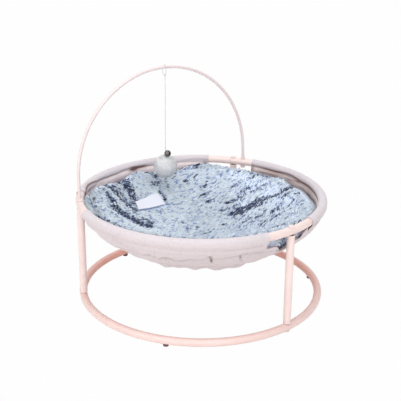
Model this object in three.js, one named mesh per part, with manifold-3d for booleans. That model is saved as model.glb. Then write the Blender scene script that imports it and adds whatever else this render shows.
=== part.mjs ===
// A raised round pet bed: two tube rings held apart by three legs, a canvas bowl sleeved on to the upper
// ring with a plush mat in it, and a thin rod arch that a bell and a pompom hang from.
// Millimetres, +Z up. The origin is on the floor, under the centre of the rings.

import * as THREE from 'three';
import { mergeVertices } from 'three/addons/utils/BufferGeometryUtils.js';
import Module from 'manifold-3d';

const wasm = await Module();
wasm.setup();

const degree = Math.PI / 180;

// Frame: both rings are bent from one tube, in arcs that plug into each other at the legs
const ringRadius = 222;
const ringSpacing = 180.8;
const tubeRadius = 7.2;
const tubeWall = 1.2;
const footHeight = 3.5;
const legCount = 3;
const firstLegAngle = 72.8 * degree;
const seatGap = 0.3;
const plugLength = 14.4;
const seamOffset = 5;
const shoulderLength = 1.5;
const tubeSides = 10;
const stepsPerArc = 14;

// Legs and the bolts that run down through the rings into them
const legRadius = 6.8;
const legWall = 1.2;
const legSides = 16;
const smallSides = 12;
const holeSides = 8;
const hexSides = 6;
const insertLength = 16;
const insertRecess = 0.5;
const boltRadius = 2.9;
const boltReach = 13;
const boltClearance = 0.35;
const boltHeadRadius = 4.6;
const boltHeadHeight = 1.2;
const boltHeadEdge = 0.5;
const socketRadius = 1.7;
const socketDepth = 1.8;
const washerRadius = 5.2;
const washerCrown = 0.5;

// Push-in rubber feet under the lower ring, a little past the middle of each arc
const footOffset = 8.4;
const footRadius = 5;
const footChamfer = 0.7;
const footWrap = 1.6;
const footStemRadius = 2.2;
const footBarbRadius = 3;
const footBarbLength = 2.6;

// Arch: a bent rod whose two threaded ends stand in the upper ring beside two legs. It leans out a little
const rodRadius = 3;
const archFootOffset = 20.1;
const archStraight = 35.1;
const archRise = 182.5;
const archLeanShare = 0.07;
const archLeanBlend = 10;
const archSteps = 46;
const rodSides = 8;
const collarWidth = 1.3;
const collarHeight = 2.2;
const nutAcrossFlats = 8.8;
const nutHeight = 3.6;
const threadOverrun = 1;

// Canvas bowl, sleeved on to the upper ring between the legs
const clothThickness = 2;
const sleeveBore = 8;
const sleeveRadius = 9;
const sleeveDrop = 20;
const sleeveHem = 2.8;
const sleeveHemInset = 2.8;
const sleeveTurns = [-20, 10, 40, 70, 100, 130, 160, 190];
const notchHalfWidth = 52.3;
const notchDepth = 36.5;
const notchPower = 1.2;
const seamRadius = 145;
const seamDrop = 73.5;
const bowlBellyShares = [0, 0.54, 0.77, 0.92, 1];
const bowlDropShares = [0, 0.3, 0.6, 0.84, 1];
const keptLevelShare = 0.6;
const keptLimitShare = 0.9;
const bowlSteps = 84;
const foldCount = 17;
const foldDepth = 3;
const floorSag = 6;
const floorEdgeGap = 0.6;
const floorRingShares = [0.4, 0.75, 1];
const frillHeight = 12;
const frillInset = 8;
const frillWave = 3.2;
const frillWaves = 15;
const frillSteps = 96;
const elasticRadius = 1.2;
const elasticSides = 5;
const elasticSteps = 28;

// Plush mat lying in the bowl
const matGap = 0.8;
const matRimDrop = 5.5;
const matRimInset = 15.2;
const matRimPower = 8;
const matDish = 37.5;
const matDishPower = 2.4;
const matRingShares = [0.98, 0.92, 0.84, 0.74, 0.62, 0.48, 0.32, 0.14];
const matSteps = 56;
const matCreaseDepth = 7;
const matCreaseWidth = 10;
const matCreaseLimit = 9;

// Where the creases of the mat's top start and end, as shares of the radius of its rim
const matCreaseShares = [
  { from: [-0.897, 0.374], to: [-0.65, 0.039] },
  { from: [-0.882, 0.158], to: [-0.759, -0.089] },
  { from: [-0.759, -0.089], to: [-0.443, -0.365] },
  { from: [0.842, 0.399], to: [0.271, 0] },
  { from: [0.778, 0.507], to: [0.236, 0.36] },
  { from: [0.872, 0.148], to: [0.512, -0.335] },
];

// Sewn label on the mat
const labelLength = 60;
const labelWidth = 34;
const labelThickness = 0.8;
const labelLift = 0.4;
const labelAngle = 41 * degree;
const labelRadius = 110;
const labelBearing = 151.8 * degree;
const labelRows = 4;
const labelColumns = 8;

// Toy: a cord looped over the arch a little aside of its top, with a bell and a pompom at its end
const toyAside = 8;
const cordRadius = 0.75;
const loopSteps = 22;
const knotRadius = 1.7;
const knotDrop = 15.5;
const cordLength = 154.3;
const cordStep = 4.5;
const pompomRadius = 22.5;
const pompomSides = 20;
const bellRadius = 6;
const bellWall = 0.5;
const bellSlotWidth = 1.1;
const bellSlotStartShare = 0.3;
const bellSides = 12;
const bellEyeRadius = 1.7;
const bellEyeWire = 0.5;
const bellSide = [0.57, -0.82];
const ballRowShare = 0.6;
const pelletRadius = 1.6;

// The loop's route round the rod: how far aside of the rod's middle line, and how far above it
const loopRoute = [
  [-4.2, 0.4],
  [-3.4, -6],
  [-0.7, -13.4],
  [3.4, -15.6],
  [7.6, -12],
  [8.4, -5.4],
  [5.3, 1.6],
  [0.6, 4.1],
  [-3, 3.1],
];

// Places that follow from the sizes above
const legStep = (2 * Math.PI) / legCount;
const baseHeight = footHeight + tubeRadius;
const rimHeight = baseHeight + ringSpacing;
const tubeInside = tubeRadius - tubeWall;
const plugRadius = tubeInside - seatGap;
const legInside = legRadius - legWall;
const insertRadius = legInside - seatGap;
const legBottom = baseHeight + tubeRadius + seatGap;
const legTop = rimHeight - tubeRadius - seatGap;
const boltHole = boltRadius + boltClearance;
const crownToHead = tubeRadius + seatGap + washerCrown;
const legNames = ['back', 'left', 'front'];
const arcNames = ['rear', 'front', 'right'];
const legAngles = legNames.map((name, index) => firstLegAngle + index * legStep);
const sleeveHemTop = rimHeight - sleeveDrop;
const hemMiddleRadius = ringRadius - sleeveHemInset;
const bowlTop = sleeveHemTop - seatGap;
const matRimRadius = hemMiddleRadius - clothThickness / 2 - matRimInset;
const bowlBottom = rimHeight - seamDrop;
const archAngles = [legAngles[0], legAngles[1]].map((angle) => angle - arcAngle(archFootOffset));
const archFeet = archAngles.map((angle) => polar(angle, ringRadius, 0));
const archMiddle = archFeet[0].clone().add(archFeet[1]).multiplyScalar(1 / archFeet.length);
const archReach = archFeet[0].distanceTo(archFeet[1]) / 2;
const archBend = rimHeight + archStraight;
const archAlong = archFeet[0].clone().sub(archMiddle).normalize();
const archNormal = new THREE.Vector3(0, 0, 1).cross(archAlong).normalize();
const archLeanStart = rimHeight + tubeRadius + collarHeight;
const hangHeight = archBend + archRise * Math.sqrt(1 - (toyAside / archReach) ** 2);
const hangPlace = archPoint(toyAside, hangHeight);
const knotHeight = hangHeight - knotDrop;
const cordTop = knotHeight - knotRadius - seatGap;
const cordBottom = cordTop - cordLength;
const pompomHeight = cordBottom - seatGap - pompomRadius;
const bellReach = bellRadius + bellEyeRadius;
const bellHeight = pompomHeight + Math.sqrt((pompomRadius + seatGap + bellRadius) ** 2 - bellReach ** 2);

// Colours and finishes

function paintedMetal() {
  return new THREE.MeshStandardMaterial({ color: 0xf3d9d2, roughness: 0.38, metalness: 0.1 });
}

function zincSteel() {
  return new THREE.MeshStandardMaterial({ color: 0xb9bcc0, roughness: 0.35, metalness: 0.9 });
}

function rubber() {
  return new THREE.MeshStandardMaterial({ color: 0x4a3238, roughness: 0.9, metalness: 0 });
}

function canvas() {
  return new THREE.MeshStandardMaterial({ color: 0xe2d8da, roughness: 0.95, metalness: 0 });
}

function plush() {
  return new THREE.MeshStandardMaterial({ color: 0xbfc9dc, roughness: 1, metalness: 0 });
}

function whiteCloth() {
  return new THREE.MeshStandardMaterial({ color: 0xf4f2f2, roughness: 0.9, metalness: 0 });
}

function silver() {
  return new THREE.MeshStandardMaterial({ color: 0xc9ccd2, roughness: 0.2, metalness: 1 });
}

// Points and angles on the rings

function polar(angle, radius, height) {
  return new THREE.Vector3(radius * Math.cos(angle), radius * Math.sin(angle), height);
}

function arcAngle(length) {
  return length / ringRadius;
}

// A point in the arch's surface, which stands upright in the ring and then leans out
function archPoint(out, height) {
  const over = Math.max(0, height - archLeanStart);
  const lean = (archLeanShare * over ** 2) / (over + archLeanBlend);
  return archMiddle.clone().addScaledVector(archAlong, out).addScaledVector(archNormal, lean).setZ(height);
}

// Surfaces through rings of points, each ring with as many points as the next

function orient(geometry) {
  const place = geometry.attributes.position;
  const index = geometry.index.array;
  const corners = [new THREE.Vector3(), new THREE.Vector3(), new THREE.Vector3()];
  let volume = 0;
  for (let first = 0; first < index.length; first += 3) {
    corners.forEach((corner, k) => corner.fromBufferAttribute(place, index[first + k]));
    volume += corners[0].dot(corners[1].clone().cross(corners[2]));
  }
  if (volume < 0) {
    for (let first = 0; first < index.length; first += 3) {
      [index[first], index[first + 1]] = [index[first + 1], index[first]];
    }
  }
  return geometry;
}

function surface(points, triangles) {
  const geometry = new THREE.BufferGeometry();
  geometry.setFromPoints(points);
  geometry.setIndex(triangles);
  return orient(geometry);
}

function bandBetween(triangles, low, high, count) {
  for (let k = 0; k < count; k += 1) {
    const next = (k + 1) % count;
    triangles.push(low + k, low + next, high + next, low + k, high + next, high + k);
  }
}

// The last ring joins the first, so the surface is closed without caps
function loopedLoft(rings) {
  const count = rings[0].length;
  const triangles = [];
  rings.forEach((ring, index) => {
    bandBetween(triangles, index * count, ((index + 1) % rings.length) * count, count);
  });
  return surface(rings.flat(), triangles);
}

// Each end is closed by a fan round its own middle point
function cappedLoft(rings) {
  const count = rings[0].length;
  const points = rings.flat();
  const triangles = [];
  for (let index = 0; index + 1 < rings.length; index += 1) {
    bandBetween(triangles, index * count, (index + 1) * count, count);
  }
  [rings[0], rings[rings.length - 1]].forEach((ring, end) => {
    const middle = points.length;
    const base = end === 0 ? 0 : (rings.length - 1) * count;
    points.push(ring.reduce((sum, point) => sum.add(point), new THREE.Vector3()).divideScalar(count));
    for (let k = 0; k < count; k += 1) {
      const next = (k + 1) % count;
      triangles.push(...(end === 0 ? [base + next, base + k, middle] : [base + k, base + next, middle]));
    }
  });
  return surface(points, triangles);
}

// Solids for joining and cutting

function toSolid(geometry) {
  const bare = geometry.clone();
  bare.deleteAttribute('normal');
  bare.deleteAttribute('uv');
  const merged = mergeVertices(bare);
  return new wasm.Manifold(
    new wasm.Mesh({
      numProp: 3,
      vertProperties: new Float32Array(merged.attributes.position.array),
      triVerts: new Uint32Array(merged.index.array),
    }),
  );
}

function fromSolid(solid) {
  const mesh = solid.getMesh();
  const geometry = new THREE.BufferGeometry();
  geometry.setAttribute('position', new THREE.BufferAttribute(new Float32Array(mesh.vertProperties), 3));
  geometry.setIndex(new THREE.BufferAttribute(new Uint32Array(mesh.triVerts), 1));
  return geometry;
}

function cut(geometry, ...cutters) {
  const solid = cutters.reduce((left, cutter) => left.subtract(toSolid(cutter)), toSolid(geometry));
  return fromSolid(solid);
}

function join(geometry, ...others) {
  const solid = others.reduce((sum, other) => sum.add(toSolid(other)), toSolid(geometry));
  return fromSolid(solid);
}

// Round shapes along Z, from their outline as [radius, height] pairs

function revolve(outline, sides) {
  const profile = outline.map(([radius, height]) => new THREE.Vector2(radius, height));
  const geometry = new THREE.LatheGeometry(profile, sides);
  geometry.rotateX(Math.PI / 2);
  geometry.deleteAttribute('normal');
  geometry.deleteAttribute('uv');
  return orient(mergeVertices(geometry));
}

function sleeveOutline(inner, outer, low, high) {
  return [[inner, low], [outer, low], [outer, high], [inner, high], [inner, low]];
}

function rodAlongZ(radius, low, high, sides) {
  return revolve([[0, low], [radius, low], [radius, high], [0, high]], sides);
}

// Ring arcs

function tubeRing(angle, radius, height) {
  return Array.from({ length: tubeSides }, (unused, k) => {
    const turn = (2 * Math.PI * (k + 0.5)) / tubeSides;
    return polar(angle, ringRadius + radius * Math.cos(turn), height + radius * Math.sin(turn));
  });
}

// Where an arc's full tube has its sections, from its shoulder to the seam at its other end
function fullStations(start) {
  const seam = start + arcAngle(seamOffset);
  const end = start + legStep;
  const steps = Array.from({ length: stepsPerArc - 1 }, (unused, k) => {
    return start + (legStep * (k + 1)) / stepsPerArc;
  });
  return [
    seam + arcAngle(seatGap + shoulderLength),
    ...steps,
    end + arcAngle(seamOffset - plugLength),
    end,
    seam + legStep,
  ];
}

// A hollow arc: its first end is a plug of smaller tube, its last end the socket for the next arc's plug
function ringArc(start, height) {
  const stations = [
    [start + arcAngle(seamOffset - plugLength), plugRadius],
    [start, plugRadius],
    [start + arcAngle(seamOffset + seatGap), plugRadius],
    ...fullStations(start).map((angle) => [angle, tubeRadius]),
  ];
  const outside = stations.map(([angle, radius]) => tubeRing(angle, radius, height));
  const inside = stations.map(([angle, radius]) => tubeRing(angle, radius - tubeWall, height));
  return loopedLoft([...outside, ...inside.reverse()]);
}

// The whole ring as a solid, a gap thicker than the tube, which cuts what seats on the tube's round wall
function ringCutter(height) {
  const angles = legAngles.flatMap(fullStations);
  return loopedLoft(angles.map((angle) => tubeRing(angle, tubeRadius + seatGap, height)));
}

function drillThrough(angle, height, radius) {
  const drill = rodAlongZ(radius, height - 2 * tubeRadius, height + 2 * tubeRadius, holeSides);
  return drill.translate(...polar(angle, ringRadius, 0).toArray());
}

function drillFromBelow(angle, height, radius) {
  const drill = rodAlongZ(radius, height - 2 * tubeRadius, height, holeSides);
  return drill.translate(...polar(angle, ringRadius, 0).toArray());
}

// Two of the three upper arcs also have a hole for a foot of the arch
function rimArc(start, archAngle) {
  const holes = [start, start + legStep].map((angle) => drillThrough(angle, rimHeight, boltHole));
  if (archAngle !== undefined) {
    holes.push(drillThrough(archAngle, rimHeight, rodRadius + boltClearance));
  }
  return cut(ringArc(start, rimHeight), ...holes);
}

function footAngle(start) {
  return start + legStep / 2 + arcAngle(footOffset);
}

function baseArc(start) {
  return cut(
    ringArc(start, baseHeight),
    drillThrough(start, baseHeight, boltHole),
    drillThrough(start + legStep, baseHeight, boltHole),
    drillFromBelow(footAngle(start), baseHeight, footStemRadius + boltClearance),
  );
}

// Legs, inserts, washers and bolts

function legTube() {
  return revolve(sleeveOutline(legInside, legRadius, legBottom, legTop), legSides);
}

function legInsert(low) {
  return revolve(sleeveOutline(boltHole, insertRadius, low, low + insertLength), legSides);
}

function saddleWasher(angle, height, side) {
  const outer = side * crownToHead;
  const ends = [height, height + outer].sort((a, b) => a - b);
  const blank = revolve(sleeveOutline(boltHole, washerRadius, ends[0], ends[1]), smallSides);
  blank.translate(...polar(angle, ringRadius, 0).toArray());
  return cut(blank, ringCutter(height));
}

// The bolt is drawn with its head up and turned over for the lower ring
function legBolt(side) {
  const head = crownToHead + boltHeadHeight;
  const tip = -(tubeRadius + seatGap + boltReach);
  const outline = [
    [0, tip],
    [boltRadius, tip],
    [boltRadius, crownToHead],
    [boltHeadRadius, crownToHead],
    [boltHeadRadius, head - boltHeadEdge],
    [boltHeadRadius - boltHeadEdge, head],
    [0, head],
  ];
  const socket = rodAlongZ(socketRadius, head - socketDepth, head + boltHeadHeight, hexSides);
  const bolt = cut(revolve(outline, smallSides), socket);
  if (side < 0) {
    bolt.rotateX(Math.PI);
  }
  return bolt;
}

// Rubber feet

function rubberFoot(angle) {
  const flatInside = tubeInside * Math.cos(Math.PI / tubeSides);
  const barbSeat = baseHeight - Math.sqrt(flatInside ** 2 - footBarbRadius ** 2) + seatGap;
  const button = revolve(
    [
      [0, 0],
      [footRadius - footChamfer, 0],
      [footRadius, footChamfer],
      [footRadius, footHeight + footWrap],
      [0, footHeight + footWrap],
    ],
    smallSides,
  );
  const stem = revolve(
    [
      [0, footHeight / 2],
      [footStemRadius, footHeight / 2],
      [footStemRadius, barbSeat],
      [footBarbRadius, barbSeat],
      [footStemRadius / 2, barbSeat + footBarbLength],
      [0, barbSeat + footBarbLength],
    ],
    smallSides,
  );
  const place = polar(angle, ringRadius, 0).toArray();
  button.translate(...place);
  stem.translate(...place);
  return join(cut(button, ringCutter(baseHeight)), stem);
}

// Arch rod: up from each foot, then half an ellipse over the bed

class ArchLine extends THREE.Curve {
  constructor() {
    super();
    this.foot = rimHeight - tubeRadius - seatGap - nutHeight - threadOverrun;
    this.stand = archBend - this.foot;
    this.bow = Math.PI * archReach;
  }

  getPoint(share) {
    const way = share * (2 * this.stand + this.bow);
    if (way < this.stand) {
      return archPoint(archReach, this.foot + way);
    }
    if (way > this.stand + this.bow) {
      return archPoint(-archReach, archBend - (way - this.stand - this.bow));
    }
    const turn = (way - this.stand) / archReach;
    return archPoint(archReach * Math.cos(turn), archBend + archRise * Math.sin(turn));
  }
}

function roundSection(radius, sides) {
  return new THREE.Shape(
    Array.from({ length: sides }, (unused, k) => {
      const turn = (2 * Math.PI * k) / sides;
      return new THREE.Vector2(radius * Math.cos(turn), radius * Math.sin(turn));
    }),
  );
}

function archRod() {
  const settings = { steps: archSteps, extrudePath: new ArchLine(), bevelEnabled: false };
  const rod = new THREE.ExtrudeGeometry(roundSection(rodRadius, rodSides), settings);
  return orient(mergeVertices(bare(rod)));
}

function bare(geometry) {
  geometry.deleteAttribute('normal');
  geometry.deleteAttribute('uv');
  return geometry;
}

function archCollar(angle) {
  const inner = rodRadius + seatGap;
  const top = rimHeight + tubeRadius + collarHeight;
  const blank = revolve(sleeveOutline(inner, inner + collarWidth, rimHeight, top), smallSides);
  blank.translate(...polar(angle, ringRadius, 0).toArray());
  return cut(blank, ringCutter(rimHeight));
}

function archNut(angle) {
  const top = rimHeight - tubeRadius - seatGap;
  const corner = nutAcrossFlats / 2 / Math.cos(Math.PI / hexSides);
  const place = polar(angle, ringRadius, 0).toArray();
  const blank = rodAlongZ(corner, top - nutHeight, top, hexSides);
  const bore = rodAlongZ(rodRadius + seatGap, top - 2 * nutHeight, top + nutHeight, smallSides);
  return cut(blank, bore).translate(...place);
}

// Canvas

// The bowl's inner wall: how far out it is at a share of the way from the seam up to the hem
function bowlInside(upShare) {
  const outer = hemMiddleRadius - clothThickness / 2;
  const spot = Math.min(Math.max(upShare, 0), 1);
  let span = 1;
  while (bowlDropShares[span] < spot) {
    span += 1;
  }
  const part = (spot - bowlDropShares[span - 1]) / (bowlDropShares[span] - bowlDropShares[span - 1]);
  const belly = bowlBellyShares[span - 1] + part * (bowlBellyShares[span] - bowlBellyShares[span - 1]);
  return seamRadius + belly * (outer - seamRadius);
}

function nearestLegTurn(angle) {
  const turns = legAngles.map((leg) => {
    const turn = (angle - leg) % (2 * Math.PI);
    return Math.abs(turn > Math.PI ? turn - 2 * Math.PI : turn < -Math.PI ? turn + 2 * Math.PI : turn);
  });
  return Math.min(...turns);
}

// The hem stands under the sleeves and dips in a notch round each leg
function bowlHem(angle) {
  const aside = (nearestLegTurn(angle) * ringRadius) / notchHalfWidth;
  const dip = Math.max(0, 1 - Math.pow(aside, notchPower));
  return bowlTop - dip * (bowlTop - (rimHeight - notchDepth));
}

function foldOut(angle, upShare) {
  const wave = 0.5 + 0.5 * Math.sin(foldCount * angle + Math.sin(2 * angle));
  const fade = Math.pow(1 - upShare, 2);
  return foldDepth * wave * fade;
}

// The levels of a section: the lower ones stay put and the upper ones follow the hem
function bowlLevels(hemShare) {
  const kept = Math.min(keptLevelShare, hemShare * keptLimitShare);
  return bowlDropShares.map((share) =>
    share < keptLevelShare
      ? (share * kept) / keptLevelShare
      : kept + ((share - keptLevelShare) * (hemShare - kept)) / (1 - keptLevelShare),
  );
}

function bowlSection(angle) {
  const shares = bowlLevels((bowlHem(angle) - bowlBottom) / (bowlTop - bowlBottom));
  const heightAt = (share) => bowlBottom + share * (bowlTop - bowlBottom);
  const outside = shares.map((share) =>
    polar(angle, bowlInside(share) + clothThickness + foldOut(angle, share), heightAt(share)),
  );
  const inside = shares.map((share) => polar(angle, bowlInside(share), heightAt(share)));
  return [...outside, ...inside.reverse()];
}

function aroundBed(steps, sectionAt) {
  return Array.from({ length: steps }, (unused, k) => sectionAt(firstLegAngle + (2 * Math.PI * k) / steps));
}

function canvasBowl() {
  return loopedLoft(aroundBed(bowlSteps, bowlSection));
}

function canvasFloor() {
  const edge = seamRadius - floorEdgeGap;
  const top = bowlBottom + clothThickness;
  const sagAt = (share) => floorSag * (1 - share * share);
  const ringAt = (share, height) =>
    aroundBed(bowlSteps / 2, (angle) => polar(angle, edge * share, height - sagAt(share)));
  const above = floorRingShares.map((share) => ringAt(share, top));
  const below = floorRingShares.map((share) => ringAt(share, top - clothThickness));
  return cappedLoft([...above, ...below.reverse()]);
}

// The gathered edge that hangs below the drawn-in seam
function gatheredFrill() {
  const top = bowlBottom - seatGap;
  const levels = [0, 1];
  const section = (angle) => {
    const wave = frillWave * Math.sin(frillWaves * angle + 2 * Math.sin(3 * angle));
    const radiusAt = (share) => seamRadius + clothThickness - frillInset * share + wave * share;
    const outside = levels.map((share) => polar(angle, radiusAt(share), top - frillHeight * share));
    const inside = levels.map((share) => {
      return polar(angle, radiusAt(share) - clothThickness, top - frillHeight * share);
    });
    return [...outside, ...inside.reverse()];
  };
  return loopedLoft(aroundBed(frillSteps, section));
}

function gatherElastic() {
  const depth = seatGap + 2 * elasticRadius;
  const frillInward = ((frillInset + frillWave) * depth) / frillHeight;
  const radius = seamRadius - frillInward - seatGap - elasticRadius;
  const ring = new THREE.TorusGeometry(radius, elasticRadius, elasticSides, elasticSteps);
  ring.translate(0, 0, bowlBottom - seatGap - elasticRadius);
  return orient(mergeVertices(bare(ring)));
}

// A sleeve wraps the tube and both plies run down to one stitched hem
function sleeveSection(angle) {
  const round = sleeveTurns.map((turn) => {
    const way = turn * degree;
    return polar(angle, ringRadius + sleeveRadius * Math.cos(way), rimHeight + sleeveRadius * Math.sin(way));
  });
  const midway = (sleeveHemTop + rimHeight - sleeveRadius) / 2;
  const hemOut = hemMiddleRadius + sleeveHem / 2;
  const hemIn = hemMiddleRadius - sleeveHem / 2;
  return [
    polar(angle, hemOut, sleeveHemTop),
    polar(angle, hemOut + sleeveHem, midway),
    ...round,
    polar(angle, hemIn - sleeveHem / 2, midway),
    polar(angle, hemIn, sleeveHemTop),
  ];
}

function boreSection(angle, count) {
  return Array.from({ length: count }, (unused, k) => {
    const way = ((360 * (k + 0.5)) / count - 90) * degree;
    return polar(angle, ringRadius + sleeveBore * Math.cos(way), rimHeight + sleeveBore * Math.sin(way));
  });
}

function sleeve(start) {
  const margin = arcAngle(notchHalfWidth);
  const angles = [start + margin];
  for (let step = 1; step < stepsPerArc; step += 1) {
    const angle = start + (legStep * step) / stepsPerArc;
    if (angle > start + margin + arcAngle(tubeRadius) / 4 && angle < start + legStep - margin) {
      angles.push(angle);
    }
  }
  angles.push(start + legStep - margin);
  const outside = angles.map(sleeveSection);
  const bore = angles.map((angle) => boreSection(angle, outside[0].length));
  return loopedLoft([...outside, ...bore.reverse()]);
}

// Mat

// How far a point is from the nearest point of a crease's line
function distanceFrom({ from, to }, x, y) {
  const ends = [from, to].map((shares) => new THREE.Vector3(...shares, 0).multiplyScalar(matRimRadius));
  const line = new THREE.Line3(...ends);
  const point = new THREE.Vector3(x, y, 0);
  return line.closestPointToPoint(point, true, new THREE.Vector3()).distanceTo(point);
}

function creaseDepthAt(x, y) {
  return matCreaseShares.reduce((sum, crease) => {
    const away = distanceFrom(crease, x, y) / matCreaseWidth;
    return sum + matCreaseDepth * Math.exp(-(away ** 2));
  }, 0);
}

function matTopAt(x, y) {
  const share = Math.min(Math.hypot(x, y) / matRimRadius, 1);
  const dish = matDish * (1 - Math.pow(share, matDishPower));
  const fade = 1 - Math.pow(share, matRimPower);
  return rimHeight - matRimDrop - dish - Math.min(creaseDepthAt(x, y), matCreaseLimit) * fade;
}

function matRingOnTop(radius) {
  return aroundBed(matSteps, (angle) => {
    const point = polar(angle, radius, 0);
    return point.setZ(matTopAt(point.x, point.y));
  });
}

function matRingAt(radius, height) {
  return aroundBed(matSteps, (angle) => polar(angle, radius, height));
}

// Its underside lies along the bowl's floor and wall, its rim is rounded and its top is dished
function plushMat() {
  const floorTop = bowlBottom + clothThickness + matGap;
  const under = bowlDropShares.slice(0, -1).map((share) => {
    const height = Math.max(bowlBottom + share * (bowlTop - bowlBottom), floorTop);
    return matRingAt(bowlInside(share) - 2 * matGap, height);
  });
  const crest = rimHeight - matRimDrop;
  const side = crest - (crest - bowlTop) / 2;
  const widest = (matRimRadius + bowlInside(1)) / 2;
  const top = matRingShares.map((share) => matRingOnTop(matRimRadius * share));
  return cappedLoft([
    matRingAt(seamRadius / 2, floorTop),
    ...under,
    matRingAt(widest, side - (crest - side)),
    matRingAt(widest, side),
    ...top,
  ]);
}

// The label follows the top of the mat
function matLabel(matGeometry) {
  const mat = new THREE.Mesh(matGeometry, new THREE.MeshBasicMaterial());
  const down = new THREE.Vector3(0, 0, -1);
  const heightAt = (x, y) => {
    const ray = new THREE.Raycaster(new THREE.Vector3(x, y, rimHeight), down);
    return ray.intersectObject(mat)[0].point.z;
  };
  const middle = polar(labelBearing, labelRadius, 0);
  const point = (column, row, lift) => {
    const out = labelLength * (column / labelColumns - 0.5);
    const up = labelWidth * (row / labelRows - 0.5);
    const x = middle.x + out * Math.cos(labelAngle) - up * Math.sin(labelAngle);
    const y = middle.y + out * Math.sin(labelAngle) + up * Math.cos(labelAngle);
    return new THREE.Vector3(x, y, heightAt(x, y) + labelLift + lift);
  };
  const rings = Array.from({ length: labelColumns + 1 }, (unused, column) => {
    const low = Array.from({ length: labelRows + 1 }, (also, row) => point(column, row, 0));
    const high = Array.from({ length: labelRows + 1 }, (also, row) => {
      return point(column, labelRows - row, labelThickness);
    });
    return [...low, ...high];
  });
  return cappedLoft(rings);
}

// Toy

// The cord goes over the rod and back to its own knot
function cordLoop() {
  const points = loopRoute.map(([aside, up]) =>
    hangPlace.clone().setZ(hangHeight + up).addScaledVector(archNormal, aside),
  );
  const line = new THREE.CatmullRomCurve3(points, true);
  const loop = new THREE.TubeGeometry(line, loopSteps, cordRadius, rodSides, true);
  const knot = ball(knotRadius, holeSides).translate(hangPlace.x, hangPlace.y, knotHeight);
  return join(orient(mergeVertices(bare(loop))), knot);
}

function hangingCord() {
  const ends = [cordTop, cordBottom].map((height) => hangPlace.clone().setZ(height));
  const settings = {
    steps: Math.round(cordLength / cordStep),
    extrudePath: new THREE.LineCurve3(...ends),
    bevelEnabled: false,
  };
  const cord = new THREE.ExtrudeGeometry(roundSection(cordRadius, rodSides), settings);
  return orient(mergeVertices(bare(cord)));
}

function ball(radius, sides) {
  const sphere = new THREE.SphereGeometry(radius, sides, Math.round(sides * ballRowShare));
  return orient(mergeVertices(bare(sphere)));
}

// The bell lies on the pompom, with its eye threaded on the cord and a slot across its far side
function jingleBell() {
  const width = 2 * bellRadius;
  const slot = new THREE.BoxGeometry(width, bellSlotWidth, 2 * width);
  slot.translate(bellReach + bellRadius * bellSlotStartShare + width / 2, 0, 0);
  const eye = new THREE.TorusGeometry(bellEyeRadius, bellEyeWire, hexSides, bellSides);
  const shell = ball(bellRadius, bellSides).translate(bellReach, 0, 0);
  const hollow = ball(bellRadius - bellWall, bellSides).translate(bellReach, 0, 0);
  const bell = cut(join(shell, eye), hollow, slot);
  return bell.rotateZ(Math.atan2(bellSide[1], bellSide[0]));
}

function bellPellet() {
  const drop = bellRadius - bellWall - pelletRadius - seatGap;
  return ball(pelletRadius, holeSides)
    .translate(bellReach, 0, -drop)
    .rotateZ(Math.atan2(bellSide[1], bellSide[0]));
}

// The assembly

const bed = new THREE.Group();

function addPiece(name, geometry, material, parent = bed) {
  const piece = new THREE.Mesh(geometry, material);
  piece.name = name;
  parent.add(piece);
  return piece;
}

legAngles.forEach((angle, index) => {
  addPiece(`rim_arc_${arcNames[index]}`, rimArc(angle, archAngles[(index + 1) % legCount]), paintedMetal());
  addPiece(`base_arc_${arcNames[index]}`, baseArc(angle), paintedMetal());
  addPiece(`foot_${arcNames[index]}`, rubberFoot(footAngle(angle)), rubber());
  addPiece(`sleeve_${arcNames[index]}`, sleeve(angle), canvas());
  addPiece(`rim_washer_${legNames[index]}`, saddleWasher(angle, rimHeight, 1), zincSteel());
  addPiece(`base_washer_${legNames[index]}`, saddleWasher(angle, baseHeight, -1), zincSteel());

  const stand = new THREE.Group();
  stand.position.copy(polar(angle, ringRadius, 0));
  bed.add(stand);
  addPiece(`leg_${legNames[index]}`, legTube(), paintedMetal(), stand);
  const insertLows = [legTop - insertRecess - insertLength, legBottom + insertRecess];
  addPiece(`upper_insert_${legNames[index]}`, legInsert(insertLows[0]), zincSteel(), stand);
  addPiece(`lower_insert_${legNames[index]}`, legInsert(insertLows[1]), zincSteel(), stand);
  addPiece(`rim_bolt_${legNames[index]}`, legBolt(1), paintedMetal(), stand).position.z = rimHeight;
  addPiece(`base_bolt_${legNames[index]}`, legBolt(-1), paintedMetal(), stand).position.z = baseHeight;
});

addPiece('arch_rod', archRod(), paintedMetal());
archAngles.forEach((angle, index) => {
  addPiece(`arch_collar_${legNames[index]}`, archCollar(angle), paintedMetal());
  addPiece(`arch_nut_${legNames[index]}`, archNut(angle), paintedMetal());
});

addPiece('canvas_bowl', canvasBowl(), canvas());
addPiece('canvas_floor', canvasFloor(), canvas());
addPiece('gathered_frill', gatheredFrill(), canvas());
addPiece('gather_elastic', gatherElastic(), whiteCloth());
const mat = addPiece('plush_mat', plushMat(), plush());
addPiece('mat_label', matLabel(mat.geometry), whiteCloth());

const toy = new THREE.Group();
toy.position.set(hangPlace.x, hangPlace.y, 0);
addPiece('toy_loop', cordLoop(), whiteCloth());
addPiece('toy_cord', hangingCord(), whiteCloth());
addPiece('bell_shell', jingleBell(), silver(), toy).position.z = bellHeight;
addPiece('bell_pellet', bellPellet(), zincSteel(), toy).position.z = bellHeight;
addPiece('pompom', ball(pompomRadius, pompomSides), whiteCloth(), toy).position.z = pompomHeight;
bed.add(toy);

export default bed;
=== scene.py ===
import math

import bmesh
import bpy
import numpy as np
from mathutils import Matrix, Vector, noise


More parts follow.
